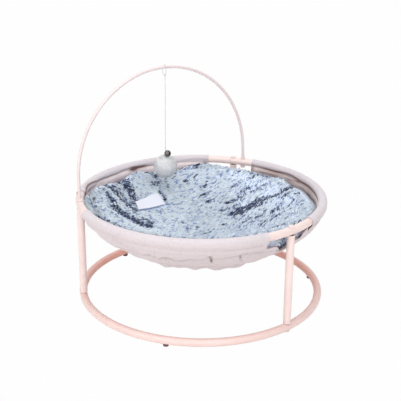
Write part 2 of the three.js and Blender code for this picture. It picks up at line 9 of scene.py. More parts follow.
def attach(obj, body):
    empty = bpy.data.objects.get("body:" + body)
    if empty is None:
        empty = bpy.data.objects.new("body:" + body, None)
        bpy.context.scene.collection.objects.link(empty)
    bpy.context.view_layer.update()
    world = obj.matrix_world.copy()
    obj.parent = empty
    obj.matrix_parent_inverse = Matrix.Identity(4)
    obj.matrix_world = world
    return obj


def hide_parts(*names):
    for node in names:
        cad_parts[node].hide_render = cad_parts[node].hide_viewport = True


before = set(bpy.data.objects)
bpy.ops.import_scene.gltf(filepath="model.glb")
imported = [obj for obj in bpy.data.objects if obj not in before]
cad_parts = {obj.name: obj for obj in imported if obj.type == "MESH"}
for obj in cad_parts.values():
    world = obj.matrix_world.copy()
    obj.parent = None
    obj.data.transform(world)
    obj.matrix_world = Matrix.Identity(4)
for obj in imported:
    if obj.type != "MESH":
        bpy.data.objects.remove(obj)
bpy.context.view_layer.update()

bl_info = {
    "name": "Elevated Pet Bed",
    "version": (1, 0, 0),
    "blender": (4, 5, 0),
    "location": "3D View > Sidebar > Pet Bed",
    "description": "Builds a raised round pet bed round its packed solids, piece by piece",
    "category": "Object",
}

LEG_NAMES = ("back", "left", "front")
ARC_NAMES = ("rear", "front", "right")
FULL_TURN = 2 * math.pi
UP = Vector((0, 0, 1))


# Settings


def metres(name, about, size):
    return bpy.props.FloatProperty(name=name, description=about, default=size, unit="LENGTH")


def hex_code(name, about, code):
    """A colour written as in a paint program, in six hex digits."""
    return bpy.props.StringProperty(name=name, description=about, default=code)


def whole(name, about, count):
    return bpy.props.IntProperty(name=name, description=about, default=count)


class FrameSizes(bpy.types.PropertyGroup):
    """Sizes of the tube frame and its fittings."""

    ring_radius: metres("Ring radius", "Middle of the tube of both rings", 0.222)
    tube_radius: metres("Tube radius", "Outside of the ring tube", 0.0072)
    tube_wall: metres("Tube wall", "Wall of the ring tube", 0.0012)
    base_height: metres("Base ring height", "Middle of the lower tube", 0.0107)
    rim_height: metres("Rim height", "Middle of the upper tube", 0.1915)
    seat_gap: metres("Seat gap", "Gap between pieces that seat on each other", 0.0003)
    plug_length: metres("Plug length", "How far an arc plugs into the next one", 0.0144)
    seam_offset: metres("Seam offset", "How far past each leg two arcs meet", 0.005)
    leg_radius: metres("Leg radius", "Outside of a leg tube", 0.0068)
    first_leg_angle: bpy.props.FloatProperty(
        name="First leg angle", description="Where the back leg stands", default=math.radians(72.8),
        unit="ROTATION")
    head_radius: metres("Bolt head radius", "Heads of the bolts in the rings", 0.0046)
    head_height: metres("Bolt head height", "Thickness of a bolt head", 0.0012)
    washer_radius: metres("Washer radius", "Saddle washers under the bolt heads", 0.0052)
    washer_crown: metres("Washer crown", "Washer thickness on the crown of the tube", 0.0005)
    foot_radius: metres("Foot radius", "Rubber feet", 0.005)
    foot_offset: metres("Foot offset", "How far past the middle of an arc its foot is", 0.0084)
    rod_radius: metres("Rod radius", "Arch rod", 0.003)
    arch_foot_offset: metres("Arch foot offset", "From a leg to the arch's foot beside it", 0.0201)
    arch_straight: metres("Arch straight", "Upright part of the arch over the rim", 0.0351)
    arch_rise: metres("Arch rise", "Height of the arch's bow", 0.1825)
    collar_height: metres("Collar height", "Collars at the arch's feet", 0.0022)
    nut_height: metres("Nut height", "Nuts under the rim at the arch's feet", 0.0036)
    coat: hex_code("Coat colour", "Powder coat on the tubes", "f0dad3")
    rod_coat: hex_code("Rod coat colour", "Powder coat on the arch", "ebd7d5")
    rubber: hex_code("Rubber colour", "Push-in feet", "77525a")


class CanvasSizes(bpy.types.PropertyGroup):
    """Sizes of the sewn canvas cover."""

    cloth: metres("Cloth thickness", "Two plies of canvas", 0.0016)
    sleeve_radius: metres("Sleeve radius", "Outside of a sleeve round the tube", 0.0083)
    sleeve_drop: metres("Sleeve drop", "From the middle of the tube down to the hem", 0.02)
    notch_half: metres("Notch half width", "From a leg to a sleeve's mouth", 0.0523)
    notch_depth: metres("Notch depth", "From the middle of the tube to the notch's lowest point", 0.0365)
    seam_radius: metres("Seam radius", "Inside of the drawn-in seam", 0.145)
    seam_height: metres("Seam height", "Height of the seam round the floor", 0.118)
    frill_bottom: metres("Frill bottom", "Lowest height of the gathered edge", 0.1062)
    floor_sag: metres("Floor sag", "How far the floor hangs in its middle", 0.006)
    canvas: hex_code("Canvas colour", "Outside of the canvas", "d8cfd1")
    lining: hex_code("Lining colour", "Inside of the canvas", "f3e3df")
    thread: hex_code("Thread colour", "Stitching", "cfc2c3")


class MatSizes(bpy.types.PropertyGroup):
    """Sizes of the plush mat and its label."""

    rim_radius: metres("Rim radius", "Where the mat's top meets its side", 0.203)
    rim_height: metres("Rim height", "Top of the mat at its rim", 0.186)
    dish: metres("Dish", "How much lower the middle lies than the rim", 0.0375)
    pile: metres("Pile", "Thickness of the pile over the backing", 0.0035)
    voxel: metres("Voxel", "Size of the faces while the cloth settles", 0.005)
    cap: metres("Cap", "Farthest that the filling moves the cloth", 0.005)
    locks: whole("Locks", "Locks of pile on each half of the mat", 20000)
    lock_length: metres("Lock length", "Length of a lock of pile", 0.0072)
    lock_width: metres("Lock width", "Width of a lock of pile at its root", 0.002)
    label_length: metres("Label length", "Sewn label", 0.0575)
    label_width: metres("Label width", "Sewn label", 0.0336)
    tips: hex_code("Tip colour", "Pale ends of the pile", "e5efff")
    middles: hex_code("Middle colour", "Pile half way down", "9cb1dc")
    roots: hex_code("Root colour", "Dark roots of the pile", "0e1739")
    label: hex_code("Label colour", "Bare woven label", "dfe1ea")


class ToySizes(bpy.types.PropertyGroup):
    """Sizes of the toy that hangs from the arch."""

    aside: metres("Aside", "How far beside the arch's top it hangs", 0.008)
    cord_radius: metres("Cord radius", "Cotton cord", 0.00075)
    knot_drop: metres("Knot drop", "From the rod's middle to the knot", 0.0155)
    knot_radius: metres("Knot radius", "Knot that closes the loop", 0.0017)
    cord_length: metres("Cord length", "From the knot to the pompom", 0.1543)
    pompom_radius: metres("Pompom radius", "Over the ends of its fibres", 0.0225)
    pompom_locks: whole("Pompom locks", "Locks of fibre on the pompom", 5200)
    bell_radius: metres("Bell radius", "Round bell", 0.006)
    cord: hex_code("Cord colour", "Cotton cord", "e2dfe1")
    fleece: hex_code("Fleece colour", "Pompom", "ffffff")
    bell: hex_code("Bell colour", "Plated bell", "8f8a84")


GROUPS = {"bed_frame": FrameSizes, "bed_canvas": CanvasSizes, "bed_mat": MatSizes, "bed_toy": ToySizes}


# Places and small sums


def sizes(group):
    """The settings of one group, as the sidebar has them."""
    return getattr(bpy.context.scene, group)


def polar(angle, radius, height):
    return Vector((radius * math.cos(angle), radius * math.sin(angle), height))


def leg_angles():
    first = sizes("bed_frame").first_leg_angle
    return [first + k * FULL_TURN / 3 for k in range(3)]


def arc_angle(length):
    return length / sizes("bed_frame").ring_radius


def arch_feet():
    """Where the arch's two feet stand, seen from above."""
    s = sizes("bed_frame")
    return [polar(leg - arc_angle(s.arch_foot_offset), s.ring_radius, 0) for leg in leg_angles()[:2]]


def hump(away, half):
    """1 where away is 0, fading smoothly to a third at half and to next to nothing at twice that."""
    return math.exp(-(away / half) ** 2)


def ease(low, high, value):
    """0 below low, 1 above high and a smooth way between."""
    share = min(max((value - low) / (high - low), 0), 1)
    return share * share * (3 - 2 * share)


def between(points, spot):
    """The value at spot of a line through (spot, value) points."""
    return float(np.interp(spot, [p[0] for p in points], [p[1] for p in points]))


def waved(points, spot):
    """As between, but with a rounded wave from each point to the next."""
    for (a, low), (b, high) in zip(points, points[1:]):
        if a <= spot <= b:
            return low + (high - low) * ease(a, b, spot)


def degrees(angle):
    """An angle in degrees from 0 to 360."""
    return math.degrees(angle) % 360


def apart(turn, other):
    """How far apart two angles in degrees are."""
    return abs((turn - other + 180) % 360 - 180)


def leg_turn(angle):
    """How far, as an angle, the nearest leg is."""
    return min(abs((angle - leg + math.pi) % FULL_TURN - math.pi) for leg in leg_angles())


# Meshes


def lattice(columns, rows, place, size, merge=1e-6, painted_shade=None):
    """One grid, each corner of which place(share across, share along) puts. Its UVs are metres of cloth,
    and the last argument, called the same way, says from 0 to 1 how much painted shade darkens it there."""
    bm = bmesh.new()
    bmesh.ops.create_grid(bm, x_segments=columns, y_segments=rows, size=0.5)
    weave = bm.loops.layers.uv.new("weave")
    dark = bm.verts.layers.float.new("painted_shade") if painted_shade else None
    for face in bm.faces:
        face.smooth = True
        for loop in face.loops:
            loop[weave].uv = ((loop.vert.co.x + 0.5) * size[0], (loop.vert.co.y + 0.5) * size[1])
    for vert in bm.verts:
        across, along = vert.co.x + 0.5, vert.co.y + 0.5
        vert.co = place(across, along)
        if painted_shade:
            vert[dark] = min(max(painted_shade(across, along), 0), 1)
    bmesh.ops.remove_doubles(bm, verts=bm.verts, dist=merge)
    bmesh.ops.dissolve_degenerate(bm, edges=bm.edges, dist=1e-7)
    return bm


def thicken(bm, thickness):
    bmesh.ops.solidify(bm, geom=bm.faces[:], thickness=thickness)
    bmesh.ops.recalc_face_normals(bm, faces=bm.faces)
    return bm


def finished(name, mesh, finish, body, replaced=()):
    """Makes a mesh an object that rides on a body and stands for CAD nodes."""
    made = bpy.data.objects.new(name, mesh)
    bpy.context.scene.collection.objects.link(made)
    mesh.materials.append(finish)
    if replaced:
        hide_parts(*replaced)
    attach(made, body)
    return made


def piece(name, bm, finish, body="frame", replaced=(), sharp=40):
    """Turns a bmesh into a finished piece, whose edges are sharp past an angle in degrees."""
    bmesh.ops.recalc_face_normals(bm, faces=bm.faces)
    mesh = bpy.data.meshes.new(name)
    bm.to_mesh(mesh)
    bm.free()
    mesh.set_sharp_from_angle(angle=math.radians(sharp))
    return finished(name, mesh, finish, body, replaced)


def refinish(node, finish):
    """Gives a CAD solid that stays in view its finish."""
    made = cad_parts[node]
    made.data.materials.clear()
    made.data.materials.append(finish)
    return made


def read(items, key, kind=float):
    """Three numbers of each vertex or triangle, a row each."""
    values = np.empty(len(items) * 3, kind)
    items.foreach_get(key, values)
    return values.reshape(-1, 3)


def joined(parts):
    """One bmesh out of several."""
    whole = parts[0]
    for part in parts[1:]:
        spare = bpy.data.meshes.new("spare")
        part.to_mesh(spare)
        part.free()
        whole.from_mesh(spare)
        bpy.data.meshes.remove(spare)
    return whole


def turned(outline, sides, middle, hexed=()):
    """A turned piece from its outline of (radius, height) points; rows named in hexed are six-sided."""
    last = len(outline) - 1

    def place(across, along):
        row = round(across * last)
        radius, height = outline[row]
        angle = along * FULL_TURN
        if row in hexed:
            radius *= math.cos(math.pi / 6) / math.cos((angle % (math.pi / 3)) - math.pi / 6)
        return middle + polar(angle, radius, height)

    return lattice(last, sides, place, (0.01, 0.01))


def copies(name, source, places, attributes, finish, body="frame", shading=None):
    """Many copies of one small mesh as one piece. places are 4x4 matrices, attributes hold
    {name: (count, corners) values}, and shading is the normal that each copy is lit by."""
    spare = bpy.data.meshes.new("spare")
    source.to_mesh(spare)
    source.free()
    corners = read(spare.vertices, "co")
    faces = [tuple(face.vertices) for face in spare.polygons]
    bpy.data.meshes.remove(spare)
    moved = np.einsum("nij,kj->nki", places[:, :3, :3], corners) + places[:, None, :3, 3]
    starts = np.arange(len(places)) * len(corners)
    mesh = bpy.data.meshes.new(name)
    loops = np.concatenate([np.array(face)[None, :] + starts[:, None] for face in faces], axis=1)
    totals = np.tile([len(face) for face in faces], len(places))
    mesh.vertices.add(moved.shape[0] * moved.shape[1])
    mesh.vertices.foreach_set("co", moved.ravel())
    mesh.loops.add(loops.size)
    mesh.loops.foreach_set("vertex_index", loops.ravel())
    mesh.polygons.add(len(totals))
    mesh.polygons.foreach_set("loop_start", np.concatenate([[0], np.cumsum(totals)[:-1]]))
    mesh.polygons.foreach_set("use_smooth", np.ones(len(totals), bool))
    mesh.update(calc_edges=True)
    for key, values in attributes.items():
        layer = mesh.attributes.new(key, "FLOAT", "POINT")
        layer.data.foreach_set("value", np.ascontiguousarray(values, np.float32).ravel())
    if shading is not None:
        mesh.normals_split_custom_set_from_vertices(np.repeat(shading, len(corners), axis=0))
    return finished(name, mesh, finish, body)


def unit(rows):
    """Each row as a vector of length 1."""
    return rows / np.linalg.norm(rows, axis=1)[:, None]


def frames_from(origins, ups, fronts, scales):
    """4x4 matrices whose Z is up, whose X is the part of front that is square to it."""
    ups = unit(ups)
    fronts = unit(fronts - (fronts * ups).sum(1)[:, None] * ups)
    sides = np.cross(ups, fronts)
    places = np.zeros((len(origins), 4, 4))
    places[:, :3, 0] = fronts * scales[:, 0:1]
    places[:, :3, 1] = sides * scales[:, 1:2]
    places[:, :3, 2] = ups * scales[:, 2:3]
    places[:, :3, 3] = origins
    places[:, 3, 3] = 1
    return places


# Materials


def srgb(text):
    """A colour written as in a paint program, as the linear colour that a node takes."""
    parts = [int(text[k:k + 2], 16) / 255 for k in (0, 2, 4)]
    return [p / 12.92 if p <= 0.04045 else ((p + 0.055) / 1.055) ** 2.4 for p in parts] + [1]


def shaded(code, share):
    """A hex colour made darker, or lighter where share is over 1."""
    return "".join(f"{min(255, round(int(code[k:k + 2], 16) * share)):02x}" for k in (0, 2, 4))


def add(tree, kind, settings=None, inputs=None, out=0, stops=(), to=None):
    """Adds a node with its settings and links, and gives its output out. An input is a value or the output
    that it is linked from, stops are (place, hex colour) pairs on a colour ramp, and to names the shader's
    own socket that the output goes to."""
    made = tree.nodes.new("ShaderNode" + kind)
    for key, value in (settings or {}).items():
        setattr(made, key, value)
    for key, value in (inputs or {}).items():
        if isinstance(value, bpy.types.NodeSocket):
            tree.links.new(value, made.inputs[key])
        else:
            made.inputs[key].default_value = value
    for _ in stops[2:]:
        made.color_ramp.elements.new(0.5)
    for number, (place, code) in enumerate(stops):
        made.color_ramp.elements[number].position = place
        made.color_ramp.elements[number].color = srgb(code)
    if to:
        tree.links.new(made.outputs[out], tree.nodes["Principled BSDF"].inputs[to])
    return made.outputs[out]


def material(name, **inputs):
    """A new material and its tree, with the given numbers on the shader's own sockets."""
    made = bpy.data.materials.new(name)
    made.use_nodes = True
    shader = made.node_tree.nodes["Principled BSDF"]
    for key, value in inputs.items():
        shader.inputs[key.replace("_", " ").title().replace("Ior", "IOR")].default_value = value
    return made, made.node_tree


def grained(name, scale, detail, stops, gloss=None, lift=None, **inputs):
    """A material whose one noise mixes its colours, spreads its roughness over gloss, from least to most,
    and lifts its skin by lift, a strength and a depth."""
    made, tree = material(name, **inputs)
    place = add(tree, "TexCoord", out="Object")
    grain = add(tree, "TexNoise", inputs={"Vector": place, "Scale": scale, "Detail": detail})
    add(tree, "ValToRGB", inputs={"Fac": grain}, stops=stops, to="Base Color")
    if gloss:
        add(tree, "MapRange", inputs={"Value": grain, "To Min": gloss[0], "To Max": gloss[1]}, to="Roughness")
    if lift:
        add(tree, "Bump", inputs={"Height": grain, "Strength": lift[0], "Distance": lift[1]}, to="Normal")
    return made


def mix_in_painted_shade(tree, tint, dark):
    """Mixes a dark colour into the tint as painted shade, where the cloth or the coat is marked for it."""
    share = add(tree, "Attribute", {"attribute_name": "painted_shade"}, out="Fac")
    add(tree, "Mix", {"data_type": "RGBA"}, {0: share, 6: tint, 7: srgb(dark)}, out=2, to="Base Color")


def powder_coat(coat=None, name="powder_coat_baked"):
    """Baked pale pink powder coat: a soft gloss over a fine orange-peel skin."""
    # The skin of a baked powder ripples every millimetre or so, which breaks the edge of a highlight
    made, tree = material(name, roughness=0.45, coat_weight=1, coat_roughness=0.5, coat_ior=1.8,
                          specular_ior_level=1)
    coat = coat or sizes("bed_frame").coat
    place = add(tree, "TexCoord", out="Object")
    cloud = add(tree, "TexNoise", inputs={"Vector": place, "Scale": 45.0, "Detail": 3.0})
    peel = add(tree, "TexNoise", inputs={"Vector": place, "Scale": 800.0, "Detail": 1.0})
    tint = add(tree, "ValToRGB", inputs={"Fac": cloud}, stops=[(0.3, shaded(coat, 0.97)), (0.7, coat)])
    # Painted shade: the coat turns a deeper, warmer pink on the inside of the lower ring towards the back,
    # where it lies in shade
    mix_in_painted_shade(tree, tint, "eba791")
    add(tree, "MapRange", inputs={"Value": cloud, "To Min": 0.36, "To Max": 0.5}, to="Roughness")
    add(tree, "Bump", inputs={"Height": peel, "Strength": 0.04, "Distance": 0.0002}, to="Normal")
    return made


def rod_coat():
    """The arch's powder coat, cooler in colour than the rings' and a little darker, the darkness painted
    shade that keeps the lamp-lit top of the thin rod from burning out.
    """
    return powder_coat(sizes("bed_frame").rod_coat, "powder_coat_on_rod")


def woven(name, dye, threads, lift, worn=0.91):
    """A plain weave over the cloth's own UVs: one set of threads each way, thicker in places."""
    made, tree = material(name, roughness=0.93, sheen_weight=0.25, sheen_roughness=0.5)
    cloth = add(tree, "UVMap", {"uv_map": "weave"})
    place = add(tree, "TexCoord", out="Object")
    warp, weft = (add(tree, "TexWave", {"bands_direction": way}, {
        "Vector": cloth, "Scale": threads, "Distortion": 1.2, "Detail": 2.0, "Detail Scale": 3.0}, out="Fac")
        for way in "XY")
    thread = add(tree, "Math", {"operation": "MAXIMUM"}, {0: warp, 1: weft})
    slub = add(tree, "TexNoise", inputs={"Vector": place, "Scale": 260.0, "Detail": 3.0})
    cloud = add(tree, "TexNoise", inputs={"Vector": place, "Scale": 14.0, "Detail": 2.0})
    mixed = add(tree, "Math", {"operation": "MULTIPLY_ADD"}, {0: thread, 1: 0.35, 2: slub})
    mixed = add(tree, "Math", {"operation": "MULTIPLY_ADD"}, {0: cloud, 1: 0.5, 2: mixed})
    tint = add(tree, "ValToRGB", inputs={"Fac": mixed}, stops=[(0.55, shaded(dye, worn)), (1.0, dye)])
    # Painted shade: folds, seams and gaps are mixed towards a warm dark brown where shade falls in them
    mix_in_painted_shade(tree, tint, "6b4a45")
    bump = add(tree, "Bump", inputs={"Height": thread, "Strength": 0.35, "Distance": lift})
    add(tree, "Bump", to="Normal", inputs={
        "Height": slub, "Strength": 0.25, "Distance": 0.0008, "Normal": bump})
    return made


def canvas():
    # Plain-woven canvas. Its 0.6 mm threads are drawn at 1.3 mm, or a picture of the bed shows none of them
    return woven("canvas_plain_weave", sizes("bed_canvas").canvas, 240.0, 0.0004)


def lining():
    # The same cloth inside the ring, painted lighter and warmer than the outside as painted light for the
    # shaded inside
    return woven("canvas_plain_weave_inside", sizes("bed_canvas").lining, 240.0, 0.0004)


def label_cloth():
    # Damask-woven label cloth, finer and smoother than the canvas, so it reads as a flat white patch
    return woven("label_woven_damask", sizes("bed_mat").label, 420.0, 0.0001, worn=0.98)


def pile_material():
    """Tipped faux fur: dark roots, pale ends, a little sheen across the fibres."""
    # The ends are pale and the roots navy; along the creases the locks are navy, partly roots and partly
    # painted shade
    made, tree = material("faux_fur_tipped", roughness=0.8, sheen_roughness=0.5, sheen_tint=srgb("cbdcff"))
    mat = sizes("bed_mat")
    shade = add(tree, "Attribute", {"attribute_name": "pale"}, out="Fac")
    place = add(tree, "TexCoord", out="Object")
    fleck = add(tree, "TexNoise", inputs={"Vector": place, "Scale": 350.0, "Detail": 2.0})
    mixed = add(tree, "Math", {"operation": "MULTIPLY_ADD"}, {0: fleck, 1: 0.24, 2: shade})
    mixed = add(tree, "Math", {"operation": "SUBTRACT", "use_clamp": True}, {0: mixed, 1: 0.12})
    add(tree, "ValToRGB", inputs={"Fac": mixed}, to="Base Color", stops=[
        (0.0, mat.roots), (0.42, mat.middles), (0.62, mat.tips), (1.0, shaded(mat.tips, 1.05))])
    # Only the brushed ends shine
    add(tree, "MapRange", inputs={"Value": mixed, "To Min": 0.03, "To Max": 0.55}, to="Sheen Weight")
    return made


def backing_material():
    # The knitted backing under the pile is mottled, since the roots stand in rows in a knit
    mat = sizes("bed_mat")
    return grained("faux_fur_knitted_backing", 260.0, 4.0, [(0.3, mat.middles), (0.55, mat.tips)],
                   lift=(0.6, 0.001), roughness=0.95)


def fleece_material():
    # The fluffed fibres of carded fleece scatter light back from all over, so it looks flat and soft
    fleece = sizes("bed_toy").fleece
    return grained("carded_fleece", 220.0, 4.0, [(0.3, shaded(fleece, 0.93)), (0.6, fleece)],
                   lift=(0.5, 0.001), roughness=0.95, sheen_weight=0.4, sheen_roughness=0.6)


def cord_material():
    """Twisted cotton cord."""
    # Three plies turn round each other, and the fine bands across are the twist of each ply
    made, tree = material("cotton_cord_twisted", roughness=0.9, sheen_weight=0.3)
    cotton = sizes("bed_toy").cord
    cloth = add(tree, "UVMap", {"uv_map": "weave"})
    ply = add(tree, "TexWave", {"bands_direction": "DIAGONAL"}, {
        "Vector": cloth, "Scale": 500.0, "Distortion": 0.5}, out="Fac")
    stops = [(0.0, shaded(cotton, 0.9)), (0.7, cotton)]
    add(tree, "ValToRGB", inputs={"Fac": ply}, stops=stops, to="Base Color")
    add(tree, "Bump", inputs={"Height": ply, "Strength": 0.5, "Distance": 0.0002}, to="Normal")
    return made


def thread_material():
    # Spun polyester is a little glossier than the cloth and a shade darker, so stitches read as a line
    thread = sizes("bed_canvas").thread
    return grained("polyester_thread_spun", 900.0, 1.0, [(0.3, shaded(thread, 0.9)), (0.7, thread)],
                   roughness=0.6, sheen_weight=0.2)


def bell_material():
    # Nickel plate over pressed brass, a mirror with smudges; its colour is painted darker than bright nickel,
    # as painted reflection of a dark room round it
    nickel = sizes("bed_toy").bell
    return grained("nickel_plate_pressed", 300.0, 3.0, [(0.35, shaded(nickel, 0.6)), (0.7, nickel)],
                   gloss=(0.14, 0.32), metallic=1.0, roughness=0.2)


def zinc_material():
    # Bright zinc on steel keeps faint streaks from the barrel that it is plated in
    return grained("zinc_plated_steel", 500.0, 4.0, [(0.3, "a9adb2"), (0.7, "c9ccd0")],
                   gloss=(0.28, 0.5), metallic=0.9, roughness=0.35)


def rubber_material():
    # Rubber moulded in a blasted die has a fine even grain that keeps it from shining
    rubber = sizes("bed_frame").rubber
    return grained("rubber_moulded_matt", 1200.0, 2.0, [(0.3, shaded(rubber, 0.85)), (0.7, rubber)],
                   lift=(0.3, 0.0002), roughness=0.8)


MADE = {}


def kept(build):
    """A material that is made once and then found again by the function that builds it."""
    if build not in MADE:
        MADE[build] = build()
    return MADE[build]


# Frame


def ring_arc(start, height, shade_weight):
    """An arc of tube whose first end is a plug in the arc before it, and whose last end is open. Its last
    argument says how strong the painted shade on its inside is."""
    s = sizes("bed_frame")
    seam = arc_angle(s.seam_offset)
    plug = s.tube_radius - s.tube_wall - s.seat_gap
    rounding = 0.0004
    edge = arc_angle(rounding)
    first = start + seam + arc_angle(s.seat_gap)
    last = start + FULL_TURN / 3 + seam
    deep = arc_angle(s.plug_length)
    stations = [(start + seam - deep, plug), (first, plug), (first, s.tube_radius - rounding)]
    bends = 72
    stations += [(first + edge + (last - first - 2 * edge) * k / bends, s.tube_radius)
                 for k in range(bends + 1)]
    stations += [(last, s.tube_radius - rounding), (last, s.tube_radius - s.tube_wall),
                 (last - deep, s.tube_radius - s.tube_wall)]
    count = len(stations) - 1

    def place(across, along):
        angle, radius = stations[round(across * count)]
        turn = along * FULL_TURN
        return polar(angle, s.ring_radius + radius * math.cos(turn), height + radius * math.sin(turn))

    # Painted shade: strongest on the inside of the tube and towards the back of the bed
    def painted_shade(across, along):
        spot = place(across, along)
        inner = 0.5 - 0.5 * math.cos(along * FULL_TURN + 0.5)
        return shade_weight * (0.5 + 0.5 * ease(-0.12, 0.1, spot.y)) * (0.25 + 0.75 * inner)

    return lattice(count, 28, place, (0.46, 0.045), merge=1e-7, painted_shade=painted_shade)


def saddle(angle, height, inner, outer, low, high, sides=28):
    """A collar or washer whose one end follows the tube it seats on. low and high are (side, offset)
    pairs: an offset alone is a plain height, and a side of 1 or -1 follows the tube's top or bottom."""
    s = sizes("bed_frame")
    axis = polar(angle, 1, 0)
    middle = polar(angle, s.ring_radius, height)
    outline = [(inner, low), (outer - 0.0002, low), (outer, low), (outer, high), (outer - 0.0003, high),
               (inner, high), (inner, low)]
    nudge = [0, 0, 0.0002, -0.0003, 0, 0, 0]

    def place(across, along):
        row = round(across * 6)
        radius, (side, offset) = outline[row]
        spot = polar(along * FULL_TURN, radius, 0)
        out = spot.dot(axis)
        rise = side * math.sqrt(max(s.tube_radius ** 2 - out ** 2, 0)) + offset
        return middle + spot + Vector((0, 0, rise + nudge[row]))

    return lattice(6, sides, place, (0.01, 0.01), merge=1e-7)


def bolt_head(angle, height, side):
    """A low head on its shank, with a hexagon socket, seated on its washer."""
    s = sizes("bed_frame")
    crown = s.tube_radius + s.seat_gap + s.washer_crown
    top = crown + s.head_height
    shank, socket = 0.0029, 0.0018
    outline = [(shank, 0.0), (shank, crown), (s.head_radius - 0.0002, crown), (s.head_radius, crown + 0.0002),
               (s.head_radius, top - 0.0005), (s.head_radius - 0.0002, top - 0.0002),
               (s.head_radius - 0.0006, top), (socket + 0.0001, top), (socket, top - 0.0002),
               (socket, top - 0.0014), (0, top - 0.0018)]
    outline = [(radius, side * rise) for radius, rise in outline]
    return turned(outline, 36, polar(angle, s.ring_radius, height), hexed=(7, 8, 9))


def arch_point(out, height):
    """A point in the arch's surface, which stands upright in the ring and then leans out."""
    s = sizes("bed_frame")
    feet = arch_feet()
    middle = (feet[0] + feet[1]) / 2
    along = (feet[0] - middle).normalized()
    normal = UP.cross(along).normalized()
    over = max(0, height - s.rim_height - s.tube_radius - s.collar_height)
    spot = middle + along * out + normal * (0.07 * over ** 2 / (over + 0.01))
    return Vector((spot.x, spot.y, height))


def arch_reach():
    """Half the way between the arch's feet."""
    feet = arch_feet()
    return (feet[0] - feet[1]).length / 2


THREAD_PITCH = 0.001
THREAD_DEPTH = 0.0003


def arch_line():
    """The arch's middle line, with four points to each turn of the thread at both ends."""
    s = sizes("bed_frame")
    reach = arch_reach()
    bend = s.rim_height + s.arch_straight
    foot = s.rim_height - s.tube_radius - s.seat_gap - s.nut_height - 0.001
    thread = [foot + THREAD_PITCH / 4 * k for k in range(44)]
    stand = [thread[-1] + (bend - thread[-1]) * k / 8 for k in range(1, 9)]
    line = [arch_point(reach, height) for height in thread + stand]
    line += [arch_point(reach * math.cos(math.pi * k / 120), bend + s.arch_rise * math.sin(math.pi * k / 120))
             for k in range(1, 120)]
    line += [arch_point(-reach, height) for height in reversed(thread + stand)]
    return line


def along_line(line, sides, radius_at, size, turn_at=None, closed=False):
    """A tube along a line of points; its frame is carried from point to point without twisting."""
    count = len(line) - 1
    ahead = []
    for k in range(len(line)):
        if closed:
            ahead.append((line[(k + 1) % count] - line[(k - 1) % count]).normalized())
        else:
            ahead.append((line[min(k + 1, count)] - line[max(k - 1, 0)]).normalized())
    side = ahead[0].orthogonal().normalized()
    sides_at = []
    for way in ahead:
        side = (side - way * side.dot(way)).normalized()
        sides_at.append(side.copy())

    def place(across, along):
        k = round(across * count)
        turn = along * FULL_TURN + (turn_at(k) if turn_at else 0)
        other = ahead[k].cross(sides_at[k])
        radius = radius_at(k, along * FULL_TURN)
        return line[k] + (sides_at[k] * math.cos(turn) + other * math.sin(turn)) * radius

    return lattice(count, sides, place, size, merge=1e-7)


def cap_ends(bm):
    """Closes the open ends of a tube with a face each."""
    bmesh.ops.holes_fill(bm, edges=[edge for edge in bm.edges if edge.is_boundary], sides=0)
    return bm


def coated(name, bm, node):
    """A piece of the frame in its powder coat."""
    return piece(name, bm, kept(powder_coat), replaced=[node])


class BED_OT_tubes(bpy.types.Operator):
    """Builds the six ring arcs and the three legs"""

    bl_idname = "bed.tubes"
    bl_label = "Rings and legs"

    def execute(self, context):
        s = sizes("bed_frame")
        for arc, leg, angle in zip(ARC_NAMES, LEG_NAMES, leg_angles()):
            # The lower ring takes the full painted shade on its inside, the rim a tenth of it
            for part, height, shade_weight in (("rim", s.rim_height, 0.1), ("base", s.base_height, 1)):
                coated(f"{part}_tube_{arc}", ring_arc(angle, height, shade_weight), f"{part}_arc_{arc}")
            low = s.base_height + s.tube_radius + s.seat_gap
            high = s.rim_height - s.tube_radius - s.seat_gap
            inner = s.leg_radius - s.tube_wall
            edge = 0.0003
            outline = [(inner, low), (s.leg_radius - edge, low), (s.leg_radius, low + edge)]
            outline += [(s.leg_radius, low + (high - low) * k / 12) for k in range(1, 12)]
            outline += [(s.leg_radius, high - edge), (s.leg_radius - edge, high), (inner, high), (inner, low)]
            coated(f"leg_tube_{leg}", turned(outline, 36, polar(angle, s.ring_radius, 0)), f"leg_{leg}")
        return {"FINISHED"}


class BED_OT_fittings(bpy.types.Operator):
    """Builds bolts, washers and feet, and finishes the inserts and nuts that stay as solids"""

    bl_idname = "bed.fittings"
    bl_label = "Bolts, washers and feet"

    def execute(self, context):
        s = sizes("bed_frame")
        bore = 0.0031
        for arc, leg, angle in zip(ARC_NAMES, LEG_NAMES, leg_angles()):
            for part, height, side in (("rim", s.rim_height, 1), ("base", s.base_height, -1)):
                coated(f"{part}_bolt_head_{leg}", bolt_head(angle, height, side), f"{part}_bolt_{leg}")
                crown = side * (s.tube_radius + s.seat_gap + s.washer_crown)
                seat = (side, side * s.seat_gap)
                washer = saddle(angle, height, bore, s.washer_radius, seat, (0, crown))
                coated(f"{part}_saddle_washer_{leg}", washer, f"{part}_washer_{leg}")
            # A foot is a disc that is rounded off below, and a stem that pushes into the tube
            middle = angle + FULL_TURN / 6 + arc_angle(s.foot_offset)
            outline = [(0, 0), (s.foot_radius - 0.0012, 0), (s.foot_radius - 0.0004, 0.0003),
                       (s.foot_radius, 0.001), (s.foot_radius, 0.0032), (s.foot_radius - 0.0003, 0.0046),
                       (0.0024, 0.0048), (0.0022, 0.009)]
            foot = turned(outline, 28, polar(middle, s.ring_radius, 0))
            piece(f"rubber_foot_{arc}", foot, kept(rubber_material), replaced=[f"foot_{arc}"])
            refinish(f"upper_insert_{leg}", kept(zinc_material))
            refinish(f"lower_insert_{leg}", kept(zinc_material))
        for leg in LEG_NAMES[:2]:
            refinish(f"arch_nut_{leg}", kept(powder_coat))
        return {"FINISHED"}


